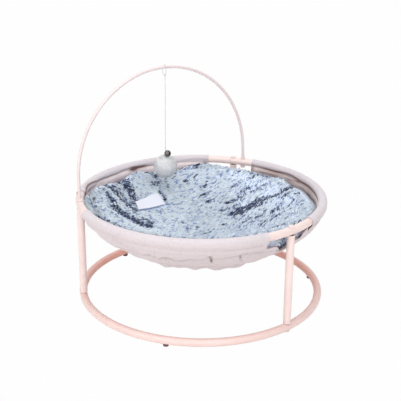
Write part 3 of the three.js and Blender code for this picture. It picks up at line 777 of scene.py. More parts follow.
class BED_OT_arch(bpy.types.Operator):
    """Builds the arch rod and its collars"""

    bl_idname = "bed.arch"
    bl_label = "Arch"

    def execute(self, context):
        s = sizes("bed_frame")
        line = arch_line()
        thread_end = s.rim_height - s.tube_radius + 0.001
        collar_radius = 0.0046

        def radius_at(k, turn):
            if line[k].z > thread_end:
                return s.rod_radius
            groove = 0.5 + 0.5 * math.cos(FULL_TURN * line[k].z / THREAD_PITCH + turn)
            return s.rod_radius - THREAD_DEPTH * groove

        rod = along_line(line, 20, radius_at, (0.95, 0.019))
        piece("arch_bent_rod", cap_ends(rod), kept(rod_coat), replaced=["arch_rod"], sharp=60)
        for leg, angle in zip(LEG_NAMES[:2], leg_angles()):
            collar = saddle(angle - arc_angle(s.arch_foot_offset), s.rim_height, s.rod_radius + s.seat_gap,
                            collar_radius, (1, s.seat_gap), (0, s.tube_radius + s.collar_height))
            coated(f"arch_foot_collar_{leg}", collar, f"arch_collar_{leg}")
        return {"FINISHED"}


# Canvas


SEAM = (
    # Angle round the bed in degrees, and height in mm of the seam that gathers the bowl's lower cloth
    (0, 160), (20, 157), (45, 160), (80, 158), (110, 161), (140, 157), (165, 160), (185, 157), (205, 161),
    (225, 158), (238, 162), (244.5, 157.5), (247, 160.7), (249, 158), (251, 154.4), (253.5, 159.2),
    (255.9, 160.2), (256.9, 154.5), (259.6, 153.9), (263, 157.8), (266.2, 161.7), (268.4, 159.2),
    (271.8, 163.7), (273.9, 168), (274.7, 158), (275.8, 161.9), (281.8, 165.2), (286, 167), (287.2, 168),
    (288.1, 162), (289.4, 167.5), (296, 167.5), (305, 162), (320, 160), (345, 162), (360, 160),
)

PULLS = (
    # Angle in degrees and how many mm the lower cloth is drawn in there; it puffs out in between
    (0, 1), (9, 4), (18, 0), (27, 4), (38, 0.5), (48, 4), (60, 0), (70, 4), (82, 0.5), (93, 4), (104, 0),
    (116, 4), (128, 0.5), (139, 4), (150, 0), (161, 4), (172, 0.5), (182, 4), (192, 0), (203, 3),
    (210.5, 4.5), (215.5, 1.5), (222.5, 5.5), (228, 4.5), (233, 1.4), (239, 1.8), (244, -0.4), (249, 1.6),
    (254, 1.4), (260, 3.5), (266, 1.2), (273, 3.4), (281, -0.4), (289, 1.5), (298, -0.6), (306, 3),
    (312, 5.5), (318, 2), (328, 4), (338, 2), (349, 4), (360, 1),
)

TUCKS = (
    # Angle in degrees, depth in mm and width in degrees of each pinch that crosses the seam
    (12, 3, 0.9), (31, 2.5, 0.8), (52, 3, 0.9), (75, 2.5, 0.8), (97, 3, 0.9), (119, 2.5, 0.8), (142, 3, 0.9),
    (163, 2.5, 0.8), (184, 3, 0.9), (205, 2.5, 0.9), (223, 3, 1), (238, 2.5, 1), (247, 2, 0.5),
    (254, 3, 0.45), (274.8, 5, 0.6), (287.8, 3.5, 0.6), (309, 2, 0.8), (331, 2.5, 0.8), (351, 3, 0.9),
)


WALL_FOLDS = (
    # Points along each small fold on the outside of the canvas as angle in degrees and height in mm, then
    # half width in mm and darkness of the painted shade along it
    (((242.7, 153.1), (245.6, 159.2), (247.2, 160.1), (248.3, 155.1)), 1.4, 0.3),
    (((249.9, 173.0), (249.3, 160.3), (247.4, 144.0)), 1.2, 0.15),
    (((249.8, 147.9), (252.1, 156.4), (254.7, 159.3), (256.5, 158.3), (257.2, 154.4)), 1.4, 0.33),
    (((255.3, 151.1), (254.2, 138.9)), 1.4, 0.22),
    (((257.9, 152.0), (262.3, 155.7), (265.5, 160.1), (267.7, 157.9)), 1.2, 0.3),
    (((267.7, 157.9), (271.2, 159.1)), 1.2, 0.14),
    (((273.3, 166.8), (274.1, 167.4), (274.9, 164.0), (274.9, 155.3), (275.2, 149.2)), 1.4, 0.62),
    (((275.2, 149.2), (276.4, 142.7), (279.2, 140.5)), 1.4, 0.25),
    (((282.2, 162.2), (284.8, 163.7), (286.5, 165.0)), 1.2, 0.3),
    (((289.9, 167.9), (287.9, 167.9), (287.6, 162.4), (288.6, 151.6), (290.8, 143.8)), 1.4, 0.32),
    (((289.8, 169.0), (294.3, 166.7), (297.9, 165.4)), 1.2, 0.18),
    (((279.1, 179.6), (283.4, 178.9), (287.8, 179.9), (292.3, 179.5), (296.6, 179.7)), 1.2, 0.2),
    (((237.4, 180.3), (241.6, 182.1), (246.9, 183.5)), 1.2, 0.1),
    (((238.2, 166.1), (240.6, 164.1), (240.8, 155.0)), 2.0, 0.1),
    (((220.7, 185.0), (228.3, 185.0), (233.1, 169.1)), 4.2, 0.07),
    (((275.7, 185.0), (276.5, 185.0), (275.3, 176.0)), 2.5, 0.05),
)


def folds_at(angle, height):
    """How dark the painted shade of the small folds makes the outside of the canvas at a place."""
    turn, height, dark = degrees(angle), height * 1000, 0
    for points, half, shade in WALL_FOLDS:
        if min(p[0] for p in points) - 2 < turn < max(p[0] for p in points) + 2:
            away = 99
            for (a, low), (b, high) in zip(points, points[1:]):
                wx, wy, dx, dy = (b - a) * 3.7, (high - low) * 1.25, (turn - a) * 3.7, (height - low) * 1.25
                share = min(max((dx * wx + dy * wy) / (wx * wx + wy * wy), 0), 1)
                away = min(away, math.hypot(dx - share * wx, dy - share * wy))
            dark += shade * hump(away, half)
    return dark


def seam_at(angle):
    """Height of the gathering seam, which stays a little below the wall's upper edge in the notches."""
    return min(between(SEAM, degrees(angle)) / 1000, wall_top(angle) - 0.0025)


def tuck_at(angle):
    """How deep the pinches draw the cloth in at an angle."""
    turn = degrees(angle)
    return sum(deep / 1000 * hump(apart(turn, middle), half) for middle, deep, half in TUCKS)


def belly_radius(height):
    """Radius of the wall's outside at a height."""
    c = sizes("bed_canvas")
    outer = sizes("bed_frame").ring_radius - 0.0028
    share = (height - c.seam_height) / (sizes("bed_frame").rim_height - c.sleeve_drop - c.seam_height)
    belly = between([(0, 0), (0.08, 0.16), (0.18, 0.34), (0.3, 0.54), (0.45, 0.67), (0.6, 0.77), (0.84, 0.92),
                     (1, 1)], share)
    return c.seam_radius + belly * (outer - c.seam_radius) + 0.002


NOTCH = (
    # Along the ring from the front leg in mm, and height in mm of the canvas's edge there
    (-53, 171.2), (-45, 170.7), (-36, 172), (-30, 170), (-22.5, 163.8), (-14, 155.2), (-8, 152.8),
    (-2, 155.5), (4, 163), (9, 169), (13.5, 171), (21, 170), (27, 169.5), (30, 173), (34, 177),
    (45, 180.5), (52.5, 182),
    (53, 171.2),
)


def wall_top(angle):
    """The wall's upper edge: level under a sleeve and cut away in a notch at each leg."""
    f, c = sizes("bed_frame"), sizes("bed_canvas")
    top = f.rim_height - c.sleeve_drop - f.seat_gap
    away = (angle - leg_angles()[2] + math.pi) % FULL_TURN - math.pi
    if abs(away) * f.ring_radius < NOTCH[-1][0] / 1000:
        return between(NOTCH, away * f.ring_radius * 1000) / 1000
    aside = leg_turn(angle) * f.ring_radius / c.notch_half
    dip = max(0, 1 - aside ** 1.2)
    return top - dip * (top - (f.rim_height - c.notch_depth))


def ripple(angle, height, scale=1.0):
    """Soft unevenness of the cloth, in metres."""
    spot = Vector((math.cos(angle) * 3.2, math.sin(angle) * 3.2, height * 26))
    fine = Vector((math.cos(angle) * 11, math.sin(angle) * 11, height * 50 + 7))
    return scale * (0.0011 * noise.noise(spot) + 0.0005 * noise.noise(fine))


def spread(across):
    """Angle round the bed for a share of a lattice, whose columns stand closer at the front."""
    turn = across * FULL_TURN
    return turn - 0.45 * math.sin(turn - 1.5 * math.pi)


def drawn_in(angle):
    """How far the wall is pulled in beside the left leg, where the cloth is taut."""
    return 0.006 * hump(degrees(angle) - 204, 8.5)


def band_point(angle, share):
    """A point of the smooth band between the gathering seam and the wall's upper edge."""
    low, top = seam_at(angle) - 0.0015, wall_top(angle)
    height = low + share * (top - low)
    radius = belly_radius(height) + 0.0006 + ripple(angle, height, 0.8) * math.sin(math.pi * share)
    radius += 0.0009 * hump(height - low, 0.002) - drawn_in(angle)
    return polar(angle, radius - 0.4 * tuck_at(angle) * (1 - share) ** 2, height)


def band_painted_shade(angle, share):
    """How dark the painted shade makes the band: along the seam, in the tucks, and along its cut edge in the
    notches.
    """
    low, top = seam_at(angle) - 0.0015, wall_top(angle)
    down = share * (top - low)
    edge = ease(0.27, 0.2, leg_turn(angle))
    return (0.12 * hump(down, 0.0012) + folds_at(angle, low + down)
            + 0.75 * edge * hump(top - low - down, 0.0014))


def pleat_at(angle):
    """The fine uneven pleats that the gathering makes, from 0 to 1."""
    return 0.5 + 0.5 * math.sin(93 * angle + 3 * math.sin(11 * angle))


def gathers_point(angle, along):
    """A point of the lower cloth, which is gathered at the seam and puffs out under it."""
    c = sizes("bed_canvas")
    share = 1 - (1 - along) ** 1.5
    top, low = seam_at(angle), c.seam_height
    height = low + share * (top - low)
    below = top - height
    radius = belly_radius(height) - drawn_in(angle) * share
    pull = waved(PULLS, degrees(angle)) / 1000
    puff = hump(below - 0.0095, 0.006)
    pleat = pleat_at(angle)
    radius += 0.0016 * puff - 0.003 * hump(below, 0.0034)
    radius -= 0.0009 * pleat * hump(below - 0.004, 0.006)
    radius -= pull * ease(0.004, 0.02, below) * (0.35 + 0.65 * ease(0, 0.5, share))
    radius -= tuck_at(angle) * hump(max(below - 0.005, 0), 0.006)
    lift = 0.45 * pull * (1 - share) * ease(0, 0.2, share)
    return polar(angle, radius + ripple(angle, height), height + lift)


def gathers_painted_shade(angle, along):
    """How dark the painted shade makes the lower cloth: in the groove under the seam, and fading down the
    tucks.
    """
    top, low = seam_at(angle), sizes("bed_canvas").seam_height
    below = (1 - along) ** 1.5 * (top - low)
    groove = 0.12 * hump(max(below - 0.0022, 0), 0.0011)
    pleat = pleat_at(angle)
    return (groove + 0.05 * pleat * hump(below - 0.005, 0.004)
            + 25 * tuck_at(angle) * hump(max(below - 0.004, 0), 0.0045) + folds_at(angle, top - below))


def sleeve_end(index, side):
    """Angle at which a sleeve ends beside a leg: the right one has slid a little towards the back leg."""
    margin = arc_angle(sizes("bed_canvas").notch_half)
    if side < 0:
        return leg_angles()[index] + margin
    slid = arc_angle(0.0095) if ARC_NAMES[index] == "right" else 0
    return leg_angles()[index] + FULL_TURN / 3 - margin + slid


def sleeve_point(angle, share, mouth):
    """A point of a sleeve's outside: up from the outer hem, over the tube, in at the stitching inside
    and down the lining to the inner hem."""
    f, c = sizes("bed_frame"), sizes("bed_canvas")
    r, top, low = c.sleeve_radius, f.rim_height, f.rim_height - c.sleeve_drop
    wave = noise.noise(Vector((angle * 14, 3, share * 2)))
    fold = noise.noise(Vector((angle * 40, 9, share * 3)))
    drape = 0.0011 * noise.noise(Vector((angle * 7, 8, 0))) + 0.0009 * wave
    outline = [(-0.0002, low), (0.0008, low + 0.003), (0.0021, low + 0.0065), (0.0036, top - 0.0112),
               (0.0046, top - 0.0096), (0.0064, top - 0.0075), (0.0082, top - 0.0038)]
    turns = [math.radians(turn) for turn in range(0, 196, 15)]
    outline += [(r * math.cos(turn), top + r * math.sin(turn)) for turn in turns]
    outline += [(-0.0083, top - 0.0038), (-0.0074, top - 0.0046), (-0.0086 - drape * 0.5, top - 0.0062),
                (-0.0097 - drape, top - 0.009), (-0.0094 - drape, top - 0.0135), (-0.0078 - drape, low)]
    steps = np.linspace(0, 1, len(outline))
    out = float(np.interp(share, steps, [p[0] for p in outline]))
    height = float(np.interp(share, steps, [p[1] for p in outline]))
    over = ease(0.15, 0.3, share) * (1 - ease(0.7, 0.8, share))
    under = ease(0.8, 0.9, share)
    swell = 0.0004 * wave + 0.00025 * fold + 0.0005 * mouth
    out += swell * math.cos(math.pi * (share - 0.25) * 1.4) * over + 0.0009 * fold * under
    return polar(angle, f.ring_radius + out, height + swell * over * math.sin(math.pi * share))


def stitches(name, line, normals, length, gap, radius):
    """A row of stitches along a line: each is a small capsule half sunk in the cloth."""
    line = [Vector(p) for p in line]
    runs = np.concatenate([[0], np.cumsum([(b - a).length for a, b in zip(line, line[1:])])])
    count = int(runs[-1] // (length + gap))
    spots = (np.arange(count) + 0.5) * (length + gap)

    def along(rows, run):
        return np.stack([np.interp(run, runs, [row[k] for row in rows]) for k in range(3)], axis=1)

    points, ups = along(line, spots), along(normals, spots)
    source = bmesh.new()
    bmesh.ops.create_icosphere(source, subdivisions=1, radius=0.5)
    scales = np.tile([length, 2 * radius, 2 * radius], (count, 1))
    places = frames_from(points, ups, along(line, spots + 0.0005) - points, scales)
    return copies(name, source, places, {}, kept(thread_material))


SHADOWS = (
    # On the sleeves: angle in degrees, height, half width in degrees and half height of a dark fold, the
    # heights in mm, then its darkness and 1 where it is inside the ring
    (130, 187, 2.6, 4.5, 1.1, 1), (125, 188.5, 4.5, 4, 0.75, 1), (186, 189, 4, 3.5, 0.95, 1),
    (178, 190, 4.5, 3, 0.9, 1), (170, 187.5, 4.5, 3, 0.85, 1), (163, 186, 4, 2.4, 0.6, 1),
    (156, 184, 4, 2, 0.4, 1), (88, 184, 1.6, 5, 0.7, 1), (61, 183, 1.2, 7, 0.5, 1),
    (54, 179.5, 4, 2, 0.45, 1), (47, 179, 4, 2, 0.45, 1), (35, 182.5, 3.2, 1.6, 0.5, 1),
    (29, 185, 3, 1.4, 0.5, 1), (24, 176.5, 4, 2.2, 0.5, 1), (16, 173, 4, 2.5, 0.6, 1),
    (9, 172, 4, 2.5, 0.6, 1), (2, 169.5, 3, 2.5, 0.5, 1),
    (16, 186, 18, 9, 0.62, 1), (48, 185, 14, 8, 0.5, 1), (327.2, 183, 1.6, 1.2, 0.7, 0),
    (329.5, 184.8, 1.4, 1.4, 0.95, 0), (331.5, 185.6, 1.2, 1.6, 1, 0),
)


GAPS = (
    # Angle in degrees and darkness of the painted shade in the gap between the mat's edge and the lining
    (0, 1), (12, 1), (30, 0.75), (50, 0.55), (70, 0.3), (100, 0.2), (125, 0.35), (135, 0.5), (150, 0.8),
    (165, 1), (192, 1), (203, 0), (330, 0), (345, 0.4), (360, 1),
)


def brims():
    """Heights of the mat's edge at each degree round the bed."""
    turns = np.radians(np.arange(361))
    return mat_top(edge_at(turns) * np.cos(turns), edge_at(turns) * np.sin(turns))


def sleeve_painted_shade(angle, share):
    """How dark the painted shade makes a sleeve: in the groove along its inner stitching, low on the lining
    and in its folds.
    """
    spot = sleeve_point(angle, share, 0)
    turn = degrees(angle)
    inner = 1 if math.hypot(spot.x, spot.y) < sizes("bed_frame").ring_radius else 0
    dark = 0.17 * hump(share - 0.825, 0.02) + 0.25 * ease(0.93, 1, share)
    for middle, height, half, tall, shade, side in SHADOWS:
        if side == inner:
            away = apart(turn, middle) / half
            dark += shade * math.exp(-away ** 2 - ((spot.z * 1000 - height) / tall) ** 2)
    if not inner:
        return dark + folds_at(angle, spot.z)
    over = (spot.z - np.interp(turn, range(361), kept(brims))) * 1000
    return dark + between(GAPS, turn) * hump(over - 0.5, 2)


def sewn(name, cloth, share, node, lined=False):
    """A piece of the canvas cover, as thick as its share of the doubled cloth; a lined one has a second
    finish for its inner faces."""
    cloth = thicken(cloth, sizes("bed_canvas").cloth * share)
    made = piece(name, cloth, kept(canvas), replaced=[node], sharp=80)
    if lined:
        made.data.materials.append(kept(lining))
    return made


class BED_OT_sleeves(bpy.types.Operator):
    """Builds the three canvas sleeves round the upper ring, with their stitching"""

    bl_idname = "bed.sleeves"
    bl_label = "Sleeves"

    def execute(self, context):
        around, hem = 0.072, 0.82
        for index, name in enumerate(ARC_NAMES):
            first = sleeve_end(index, -1)
            span = sleeve_end(index, 1) - first
            size = (span * sizes("bed_frame").ring_radius, around)

            def place(across, along):
                mouth = 1 - ease(0, 0.02, min(across, 1 - across))
                return sleeve_point(first + span * across, along, mouth)

            cloth = lattice(240, 56, place, size,
                            painted_shade=lambda across, along: sleeve_painted_shade(first + span * across, along))
            weave = cloth.loops.layers.uv["weave"]
            for face in cloth.faces:
                if max(loop[weave].uv.y for loop in face.loops) > around * hem:
                    face.material_index = 1
            made = sewn(f"canvas_sleeve_{name}", cloth, 0.6, f"sleeve_{name}", lined=True)
            angles = [first + span * k / 120 for k in range(121)]
            line = [sleeve_point(a, 0.105, 0) for a in angles]
            normals = [polar(a, 1, -0.2) for a in angles]
            stitches(f"sleeve_stitches_outer_{name}", line, normals, 0.0032, 0.0012, 0.0004)
        return {"FINISHED"}


class BED_OT_bowl(bpy.types.Operator):
    """Builds the bowl's wall, its floor, the gathered frill and the elastic"""

    bl_idname = "bed.bowl"
    bl_label = "Bowl, floor and frill"

    def execute(self, context):
        f, c = sizes("bed_frame"), sizes("bed_canvas")

        def wall(name, cloth):
            """A part of the bowl's wall, with the lining on its inner side."""
            made = sewn(name, cloth, 0.7, "canvas_bowl", lined=True)
            for face in made.data.polygons:
                out = Vector((face.center.x, face.center.y, 0)).normalized()
                if face.normal.dot(out) < 0:
                    face.material_index = 1
            return made

        band = lattice(760, 14, lambda across, along: band_point(spread(across), along), (1.38, 0.0135),
                       painted_shade=lambda across, along: band_painted_shade(spread(across), along))
        made = wall("canvas_band", band)
        gathers = lattice(900, 38, lambda across, along: gathers_point(spread(across), along), (1.3, 0.078),
                          painted_shade=lambda across, along: gathers_painted_shade(spread(across), along))
        made = wall("canvas_gathers", gathers)
        around = FULL_TURN * c.seam_radius

        def frill(across, along):
            angle = across * FULL_TURN
            pull = waved(PULLS, degrees(angle)) / 1000
            top = c.seam_height - f.seat_gap + 0.3 * pull
            low = c.frill_bottom + 0.9 * pull + 0.0006 * noise.noise(Vector((angle * 9, 2, 0)))
            inward = between([(0, 0), (0.2, -0.001), (0.5, 0.001), (0.8, 0.005), (1, 0.0085)], along)
            wave = 0.0012 * math.sin(15 * angle + 2 * math.sin(3 * angle)) * along
            pleat = 0.0005 * math.sin(71 * angle + 3 * math.sin(9 * angle))
            radius = c.seam_radius + 0.0018 - inward - pull * 0.8 + wave + pleat
            return polar(angle, radius, top - along * (top - low))

        cloth = lattice(480, 14, frill, (around, 0.016))
        made = sewn("gathered_edge", cloth, 0.8, "gathered_frill")

        def floor(across, along):
            radius = max((c.seam_radius - 0.0006) * across, 0)
            angle = along * FULL_TURN
            pucker = 0.0008 * math.sin(46 * angle) * ease(0.8, 1, across)
            height = c.seam_height + 0.002 - c.floor_sag * (1 - across * across)
            return polar(angle, radius, height + pucker + ripple(angle, across * 0.1, 0.5) * across)

        cloth = lattice(30, 184, floor, (c.seam_radius, 0.9))
        made = sewn("canvas_base_cloth", cloth, 1, "canvas_floor")

        # The elastic wavers where the stitches hold it
        tape_radius, tape_height, half_tape, steps = 0.1405, 0.1165, 0.0012, 240
        turns = [FULL_TURN * k / steps for k in range(steps + 1)]
        line = [polar(turn, tape_radius + 0.0006 * math.sin(80 * turn), tape_height) for turn in turns]
        tape = along_line(line, 10, lambda k, turn: half_tape + 0.0001 * math.cos(k * 2.1), (0.88, 0.0075),
                          closed=True)
        piece("elastic_ring", tape, kept(cord_material), replaced=["gather_elastic"])
        return {"FINISHED"}


# Mat

CREASES = (
    # Points along each crease on the mat's top in mm, then half width in mm as seen from low in front,
    # depth in mm and darkness of its navy, partly roots and partly painted shade
    (((-151, 117), (-144, 93), (-134, 70), (-126, 45)), 7.8, 5, 0.8),
    (((-161, 94), (-151, 85)), 3.7, 0, 0.7),
    (((-184, 68), (-174, 61), (-163, 48), (-148, 32)), 3.0, 4, 0.9),
    (((-174, 65), (-158, 52), (-141, 28), (-124, 9)), 5.6, 3, 0.55), (((-126, 10), (-120, 6)), 2.2, 0, 1.1),
    (((-176, 29), (-165, 10), (-154, -7)), 4.6, 4, 0.7),
    (((-158, -10), (-144, -26), (-132, -34), (-117, -46), (-103, -63), (-92, -63)), 7.8, 6, 0.95),
    (((-110, -31), (-92, -38)), 5.6, 0, 0.6), (((-103, -117), (-94, -99)), 1.5, 0, 0.9),
    (((-94, -128), (-83, -128), (-76, -137)), 1.9, 0, 1),
    (((-188, -91), (-178, -104), (-166, -116)), 1.9, 0, 0.7), (((-164, -123), (-156, -116)), 1.9, 0, 0.8),
    (((-151, -137), (-142, -122)), 2.2, 0, 0.5), (((-199, -46), (-193, -19)), 1.9, 0, 0.5),
    (((-199, -11), (-194, 6)), 1.9, 0, 0.5), (((-196, -59), (-190, -33)), 1.5, 0, 0.5),
    (((-113, 161), (-102, 155), (-90, 147)), 4.1, 3, 0.6),
    (((-98, 116), (-91, 126), (-83, 132)), 3.7, 0, 0.45), (((-74, 151), (-65, 119)), 2.2, 1, 0.45),
    (((-58, 161), (-51, 174), (-43, 188)), 5.6, 2, 0.6), (((-43, 188), (-23, 191), (-4, 191)), 4.6, 2, 0.6),
    (((-36, 146), (-30, 149)), 1.9, 0, 0.8), (((-20, 156), (-8, 165)), 1.9, 0, 0.8),
    (((9, 80), (22, 86)), 2.2, 0, 0.9), (((-4, 98), (4, 108), (14, 112)), 1.9, 0, 0.9),
    (((6, 134), (12, 150)), 2.8, 0, 0.5), (((37, 39), (46, 43)), 1.9, 0, 0.5),
    (((-26, -56), (-19, -50)), 1.9, 0, 0.8), (((-8, -46), (-3, -40)), 1.9, 0, 0.8),
    (((39, -31), (47, -29)), 2.0, 0, 0.9), (((5, -85), (17, -69)), 1.5, 0, 0.6),
    (((-27, -110), (-20, -97)), 1.9, 0, 0.7), (((-38, -133), (-33, -130)), 1.5, 0, 0.8),
    (((-47, -64), (-51, -53)), 1.5, 0, 0.6), (((-47, -19), (-30, -21)), 2.2, 0, 0.35),
    (((22, -140), (37, -133)), 1.5, 0, 0.5), (((39, -128), (47, -137)), 1.9, 0, 0.9),
    (((48, -122), (56, -131)), 1.9, 0, 0.8), (((61, -134), (66, -132)), 1.5, 0, 0.8),
    (((94, -128), (106, -125)), 1.9, 0, 0.8), (((116, -122), (124, -115), (132, -136)), 2.2, 0, 0.8),
    (((134, -114), (144, -120)), 2.4, 0, 1), (((153, -133), (173, -100)), 2.2, 0, 0.55),
    (((56, 22), (68, 31), (77, 44), (91, 54), (106, 64), (119, 67)), 4.6, 6, 1.15),
    (((72, 22), (86, 40), (98, 50)), 1.8, 0, 1),
    (((119, 66), (137, 68), (154, 71), (172, 78)), 3.4, 5, 1.2),
    (((74, 19), (94, 42), (117, 50)), 2.8, 0, 0.9), (((49, 71), (61, 80), (76, 92), (88, 97)), 2.4, 3, 0.9),
    (((77, 107), (89, 115), (100, 108), (120, 107), (132, 116)), 4.1, 4, 0.65),
    (((83, 117), (101, 122), (121, 129)), 2.2, 2, 0.5), (((116, 114), (128, 119)), 1.9, 0, 1),
    (((52, 46), (75, 64)), 2.2, 0, 0.5), (((60, 127), (78, 141), (90, 143), (104, 145)), 1.7, 2, 0.8),
    (((104, 148), (112, 152), (126, 142), (134, 141)), 1.7, 2, 0.7), (((61, 162), (71, 168)), 1.7, 0, 0.7),
    (((69, 164), (77, 168)), 1.5, 0, 0.9), (((91, 168), (97, 168)), 1.5, 0, 0.8),
    (((100, -9), (110, -1), (116, 4), (121, 19)), 2.0, 4, 1.2),
    (((132, 1), (143, 19), (148, 20)), 3.7, 3, 0.75), (((142, 5), (153, 7)), 1.9, 0, 0.7),
    (((162, 5), (167, 16), (174, 22)), 1.7, 2, 1.1), (((151, 48), (160, 49)), 1.5, 0, 0.8),
    (((160, 49), (170, 53)), 1.7, 2, 1), (((176, 43), (186, 46)), 1.7, 2, 1),
    (((84, -14), (95, -2)), 1.5, 0, 0.7), (((104, -69), (111, -48), (119, -38)), 1.7, 2, 1),
    (((107, -85), (117, -58), (133, -38), (143, -31)), 1.3, 0, 0.8),
    (((136, -29), (151, -15), (164, -12)), 1.5, 0, 0.7), (((148, -72), (159, -63)), 1.5, 0, 0.5),
    (((72, -32), (87, -15)), 1.5, 0, 0.7), (((169, 0), (186, -7)), 2.8, 0, 0.35),
    (((-83, 95), (-73, 74), (-65, 57)), 1.7, 2, 1.3),
)

EDGE = (
    # Angle in degrees and radius in mm of the mat's edge, which is lobed where the creases run out
    (0, 201), (11, 200), (18, 199.5), (28, 194), (34, 196.5), (39, 198.5), (45, 197), (60, 198), (73, 198),
    (85, 202), (91, 204.5), (97, 201), (103, 195), (107, 190), (115, 190), (125, 197), (131, 202.5),
    (138, 200), (143, 195), (149, 192), (155, 199), (162, 206.5), (180, 208), (196, 208), (212, 206),
    (230, 206), (300, 206), (322, 203), (338, 203), (350, 204.5), (360, 201),
)

LOBES = (
    # Middle in mm, then height in mm and half width in mm of the puffed places, the first under the label
    ((-84, 72), 7.5, 30), ((-185, -60), 3, 30), ((150, -60), 3, 30), ((168, 45), 3, 22), ((-155, 70), 3, 14),
    ((-165, 15), 2.5, 12), ((0, -200), 6, 60), ((-85, -180), 5, 50), ((85, -180), 5, 50),
    ((-200, 35), 6, 35), ((-15, 200), 4, 36), ((40, 195), 2, 34), ((90, 178), 2, 34), ((165, 110), 4, 34),
    ((-160, 100), 3.5, 34), ((-110, 165), 3, 34),
)


def crease_ways(x, y, points, flat):
    """How far points of the mat are from a crease, in metres, its depth squeezed by flat."""
    away = np.full_like(x, 9.0)
    for (ax, ay), (bx, by) in zip(points, points[1:]):
        ax, ay, wx, wy = ax / 1000, ay / 1000 * flat, (bx - ax) / 1000, (by - ay) / 1000 * flat
        share = np.clip(((x - ax) * wx + (y * flat - ay) * wy) / (wx * wx + wy * wy), 0, 1)
        away = np.minimum(away, np.hypot(x - ax - share * wx, y * flat - ay - share * wy))
    return away


def crease_depth(x, y):
    deep = np.zeros_like(x)
    for points, half, depth, _ in CREASES:
        if depth:
            away = crease_ways(x, y, points, 1)
            deep = np.maximum(deep, depth / 2500 * np.exp(-(away * 1000 / (half * 1.2 + 4)) ** 2))
    return deep


def crease_dark(x, y):
    """How dark the navy of the creases is at points of the mat, partly roots and partly painted shade: 0 is
    not at all, and over 1 leaves no pale specks.
    """
    dark = np.zeros_like(x)
    for points, half, _, shade in CREASES:
        away = crease_ways(x, y, points, 0.4)
        dark = np.maximum(dark, shade * np.exp(-(away * 1000 / half) ** 4))
    return dark


def edge_at(angle):
    turn = np.degrees(angle) % 360
    return np.interp(turn, [p[0] for p in EDGE], [p[1] for p in EDGE]) / 1000


def mat_top(x, y, lowered=0.0):
    m = sizes("bed_mat")
    x, y = np.asarray(x, float), np.asarray(y, float)
    share = np.minimum(np.hypot(x, y) / m.rim_radius, 1.03)
    lift = sum(height / 1000 * np.exp(-((x * 1000 - a) ** 2 + (y * 1000 - b) ** 2) / half ** 2)
               for (a, b), height, half in LOBES)
    # The mat's edge is stuffed fuller than its middle
    lift = lift + 0.004 * np.exp(-((np.hypot(x, y) - 0.197) / 0.014) ** 2)
    return m.rim_height - lowered - m.dish * (1 - share ** 2.4) - crease_depth(x, y) + lift


def hems():
    """Heights of the wall's upper edge at each degree round the bed."""
    return [wall_top(math.radians(turn)) for turn in range(361)]


# Middle and half width, in degrees, of the hollow in the mat's side close to the front leg
PIT_TURN, PIT_HALF = 312.5, 2.2


def pit_at(angle):
    """How deep the hollow is at an angle, from 0 to 1."""
    return float(np.exp(-((degrees(angle) - PIT_TURN) / PIT_HALF) ** 2))


def mat_block():
    """The mat's closed form, a pile's thickness inside its outer shape."""
    m, c = sizes("bed_mat"), sizes("bed_canvas")
    floor = c.seam_height + 0.0045
    hem = sizes("bed_frame").rim_height - c.sleeve_drop
    under = [(0.0, floor), (0.07, floor), (c.seam_radius - 0.006, floor)]
    under += [(belly_radius(max(floor, c.seam_height + share * (hem - c.seam_height))) - 0.009,
               max(floor, c.seam_height + share * (hem - c.seam_height)))
              for share in (0.1, 0.2, 0.32, 0.45, 0.6, 0.75, 0.88)]
    sides = [(0.004, 0.0), (0.005, 0.35), (0.004, 0.7)]
    rings, columns = 24, 240
    tops = [0.985, 0.96, 0.93, 0.9] + [0.9 * (1 - k / rings) for k in range(1, rings)] + [0.0]
    count = len(under) + len(sides) + len(tops) - 1
    turns = np.arange(columns + 1) / columns * FULL_TURN
    radii = np.array([1.0] + tops)[:, None] * edge_at(turns)[None, :]
    heights = mat_top(radii * np.cos(turns), radii * np.sin(turns), m.pile)

    def place(across, along):
        row, column, angle = round(across * count), round(along * columns), along * FULL_TURN
        edge, brim = float(radii[0][column]), float(heights[0][column])
        free = ease(0.24, 0.17, leg_turn(angle)) * 0.003 - 0.016 * pit_at(angle)
        if row < len(under):
            radius, height = under[row]
            return polar(angle, radius - drawn_in(angle) + free * ease(0.14, 0.158, height), height)
        if row < len(under) + len(sides):
            out, share = sides[row - len(under)]
            return polar(angle, edge + out + free, hem - 0.001 + share * (brim - 0.002 - hem))
        ring = row - len(under) - len(sides) + 1
        return polar(angle, float(radii[ring][column]), float(heights[ring][column]))

    return lattice(count, columns, place, (0.2, 1.2))


def settle(made):
    """Blows the mat up a little as cloth over its filling, and keeps how far each point may move."""
    m = sizes("bed_mat")
    voxels = made.modifiers.new("voxels", "REMESH")
    voxels.mode, voxels.voxel_size = "VOXEL", m.voxel
    bpy.context.view_layer.objects.active = made
    bpy.ops.object.select_all(action="DESELECT")
    made.select_set(True)
    bpy.ops.object.modifier_apply(modifier="voxels")
    before, normals = read(made.data.vertices, "co"), read(made.data.vertices, "normal")
    cloth = made.modifiers.new("cloth", "CLOTH")
    cloth.settings.use_pressure = True
    cloth.settings.uniform_pressure_force = 4
    cloth.settings.effector_weights.gravity = 0
    cloth.settings.quality = 5
    frames = 20
    for number in range(frames):
        bpy.context.scene.frame_set(number + 1)
    bpy.ops.object.modifier_apply(modifier="cloth")
    # The mat swells upwards and keeps its place where it rests on the bowl
    far = ((read(made.data.vertices, "co") - before) * normals).sum(1)
    free = np.clip((before[:, 2] - 0.15) / 0.02, 0, 1) * np.clip(normals[:, 2] * 2 + 0.6, 0, 1)
    moved = before + normals * (np.clip(far, -0.0005, m.cap) * free)[:, None]
    made.data.vertices.foreach_set("co", moved.ravel())
    bpy.context.scene.frame_set(1)


def smoothed(made, levels):
    finer = made.modifiers.new("finer", "SUBSURF")
    finer.levels = finer.render_levels = levels
    bpy.context.view_layer.objects.active = made
    bpy.ops.object.modifier_apply(modifier="finer")
    made.data.polygons.foreach_set("use_smooth", np.ones(len(made.data.polygons), bool))


